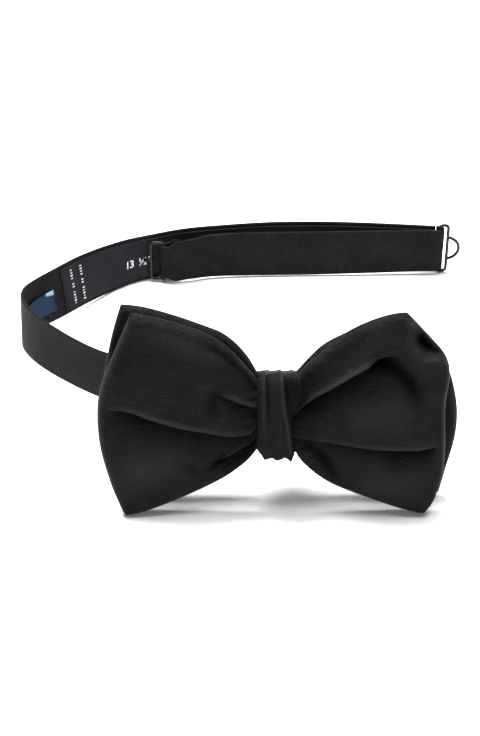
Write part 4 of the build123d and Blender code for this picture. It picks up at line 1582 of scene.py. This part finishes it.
class TIE_OT_wire(bpy.types.Operator):
    """Lacquer the eye, the adjuster and the tab hook"""
    bl_idname = "tie.wire"
    bl_label = "Wire Fittings"

    def execute(self, context):
        for node in ("band_eye", "adjuster_hook", "tab_hook"):
            dress(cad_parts[node], "lacquered_wire")
        return {"FINISHED"}


FLOOR_SIZE = 6.0
FLOOR_LEVEL = -0.0002
SKY_STRENGTH = 0.26
LIGHTS = (  # name, place, aim, size and power
    ("key_light", (-0.30, 0.30, 1.35), (0.0, 0.0, 0.02), 0.5, 52.0),
    ("top_light", (0.20, 0.05, 1.50), (0.0, 0.0, 0.0), 0.8, 24.0),
    ("fill_light", (0.5, -1.2, 1.0), (0.0, 0.0, 0.03), 0.6, 1.5),
)
CAMERA_AIM = (-12.0, 75.0, 0.0)  # in the tie's own place
CAMERA_HEIGHT = math.radians(41.0)
CAMERA_DISTANCE = 0.747
CAMERA_LENS = 100.0
CAMERA_SENSOR = 36.0
CAMERA_CLIP = 0.01


class TIE_OT_stage(bpy.types.Operator):
    """Set the floor, the studio light and the camera"""
    bl_idname = "tie.stage"
    bl_label = "Stage"

    def execute(self, context):
        scene = context.scene
        bpy.ops.object.select_all(action="DESELECT")
        bpy.ops.mesh.primitive_plane_add(size=FLOOR_SIZE, location=(0.0, 0.0, FLOOR_LEVEL))
        floor = context.object
        floor.name = "studio_floor"
        dress(floor, "studio_paper")
        world = bpy.data.worlds.new("studio")
        scene.world = world
        world.use_nodes = True
        sky = world.node_tree.nodes["Background"]
        sky.inputs["Color"].default_value = (1.0, 1.0, 1.0, 1.0)
        sky.inputs["Strength"].default_value = SKY_STRENGTH
        for name, place, aim, size, power in LIGHTS:
            data = bpy.data.lights.new(name, "AREA")
            data.shape = "SQUARE"
            data.size = size
            data.energy = power
            lamp = bpy.data.objects.new(name, data)
            lamp.location = place
            direction = Vector(aim) - Vector(place)
            lamp.rotation_euler = direction.to_track_quat("-Z", "Y").to_euler()
            scene.collection.objects.link(lamp)
        data = bpy.data.cameras.new("camera")
        data.lens = CAMERA_LENS
        data.sensor_width = CAMERA_SENSOR
        data.clip_start = CAMERA_CLIP
        camera = bpy.data.objects.new("camera", data)
        away = Vector((0.0, -math.cos(CAMERA_HEIGHT), math.sin(CAMERA_HEIGHT)))
        camera.location = Vector(to_row(CAMERA_AIM)) + CAMERA_DISTANCE * away
        camera.rotation_euler = (math.pi / 2 - CAMERA_HEIGHT, 0.0, 0.0)
        scene.collection.objects.link(camera)
        scene.camera = camera
        scene.view_settings.view_transform = "Standard"
        return {"FINISHED"}


OPERATORS = (
    TIE_OT_front_bow, TIE_OT_rear_bow, TIE_OT_knot_wrap, TIE_OT_neck_band, TIE_OT_size_tape,
    TIE_OT_buttonholes, TIE_OT_label, TIE_OT_return_strap, TIE_OT_tab_seam, TIE_OT_wire, TIE_OT_stage,
)


class TIE_PT_panel(bpy.types.Panel):
    """The tie's sizes, colours and pieces"""
    bl_idname = "TIE_PT_panel"
    bl_label = "Bow Tie"
    bl_space_type = "VIEW_3D"
    bl_region_type = "UI"
    bl_category = "Bow Tie"

    def draw(self, context):
        for group in (context.scene.tie_sizes, context.scene.tie_colours):
            box = self.layout.box()
            for name in group.__annotations__:
                box.prop(group, name)
        for operator in OPERATORS:
            self.layout.operator(operator.bl_idname)


CLASSES = (TieSizes, TieColours, *OPERATORS, TIE_PT_panel)


def register():
    """Add the tie's classes and its properties to Blender."""
    for item in CLASSES:
        bpy.utils.register_class(item)
    bpy.types.Scene.tie_sizes = bpy.props.PointerProperty(type=TieSizes)
    bpy.types.Scene.tie_colours = bpy.props.PointerProperty(type=TieColours)


def unregister():
    """Take the tie's properties and classes out again."""
    del bpy.types.Scene.tie_colours
    del bpy.types.Scene.tie_sizes
    for item in reversed(CLASSES):
        bpy.utils.unregister_class(item)


def main():
    """Register the add-on and make every piece in order."""
    register()
    for operator in OPERATORS:
        group, name = operator.bl_idname.split(".")
        getattr(getattr(bpy.ops, group), name)()


if __name__ == "__main__":
    main()
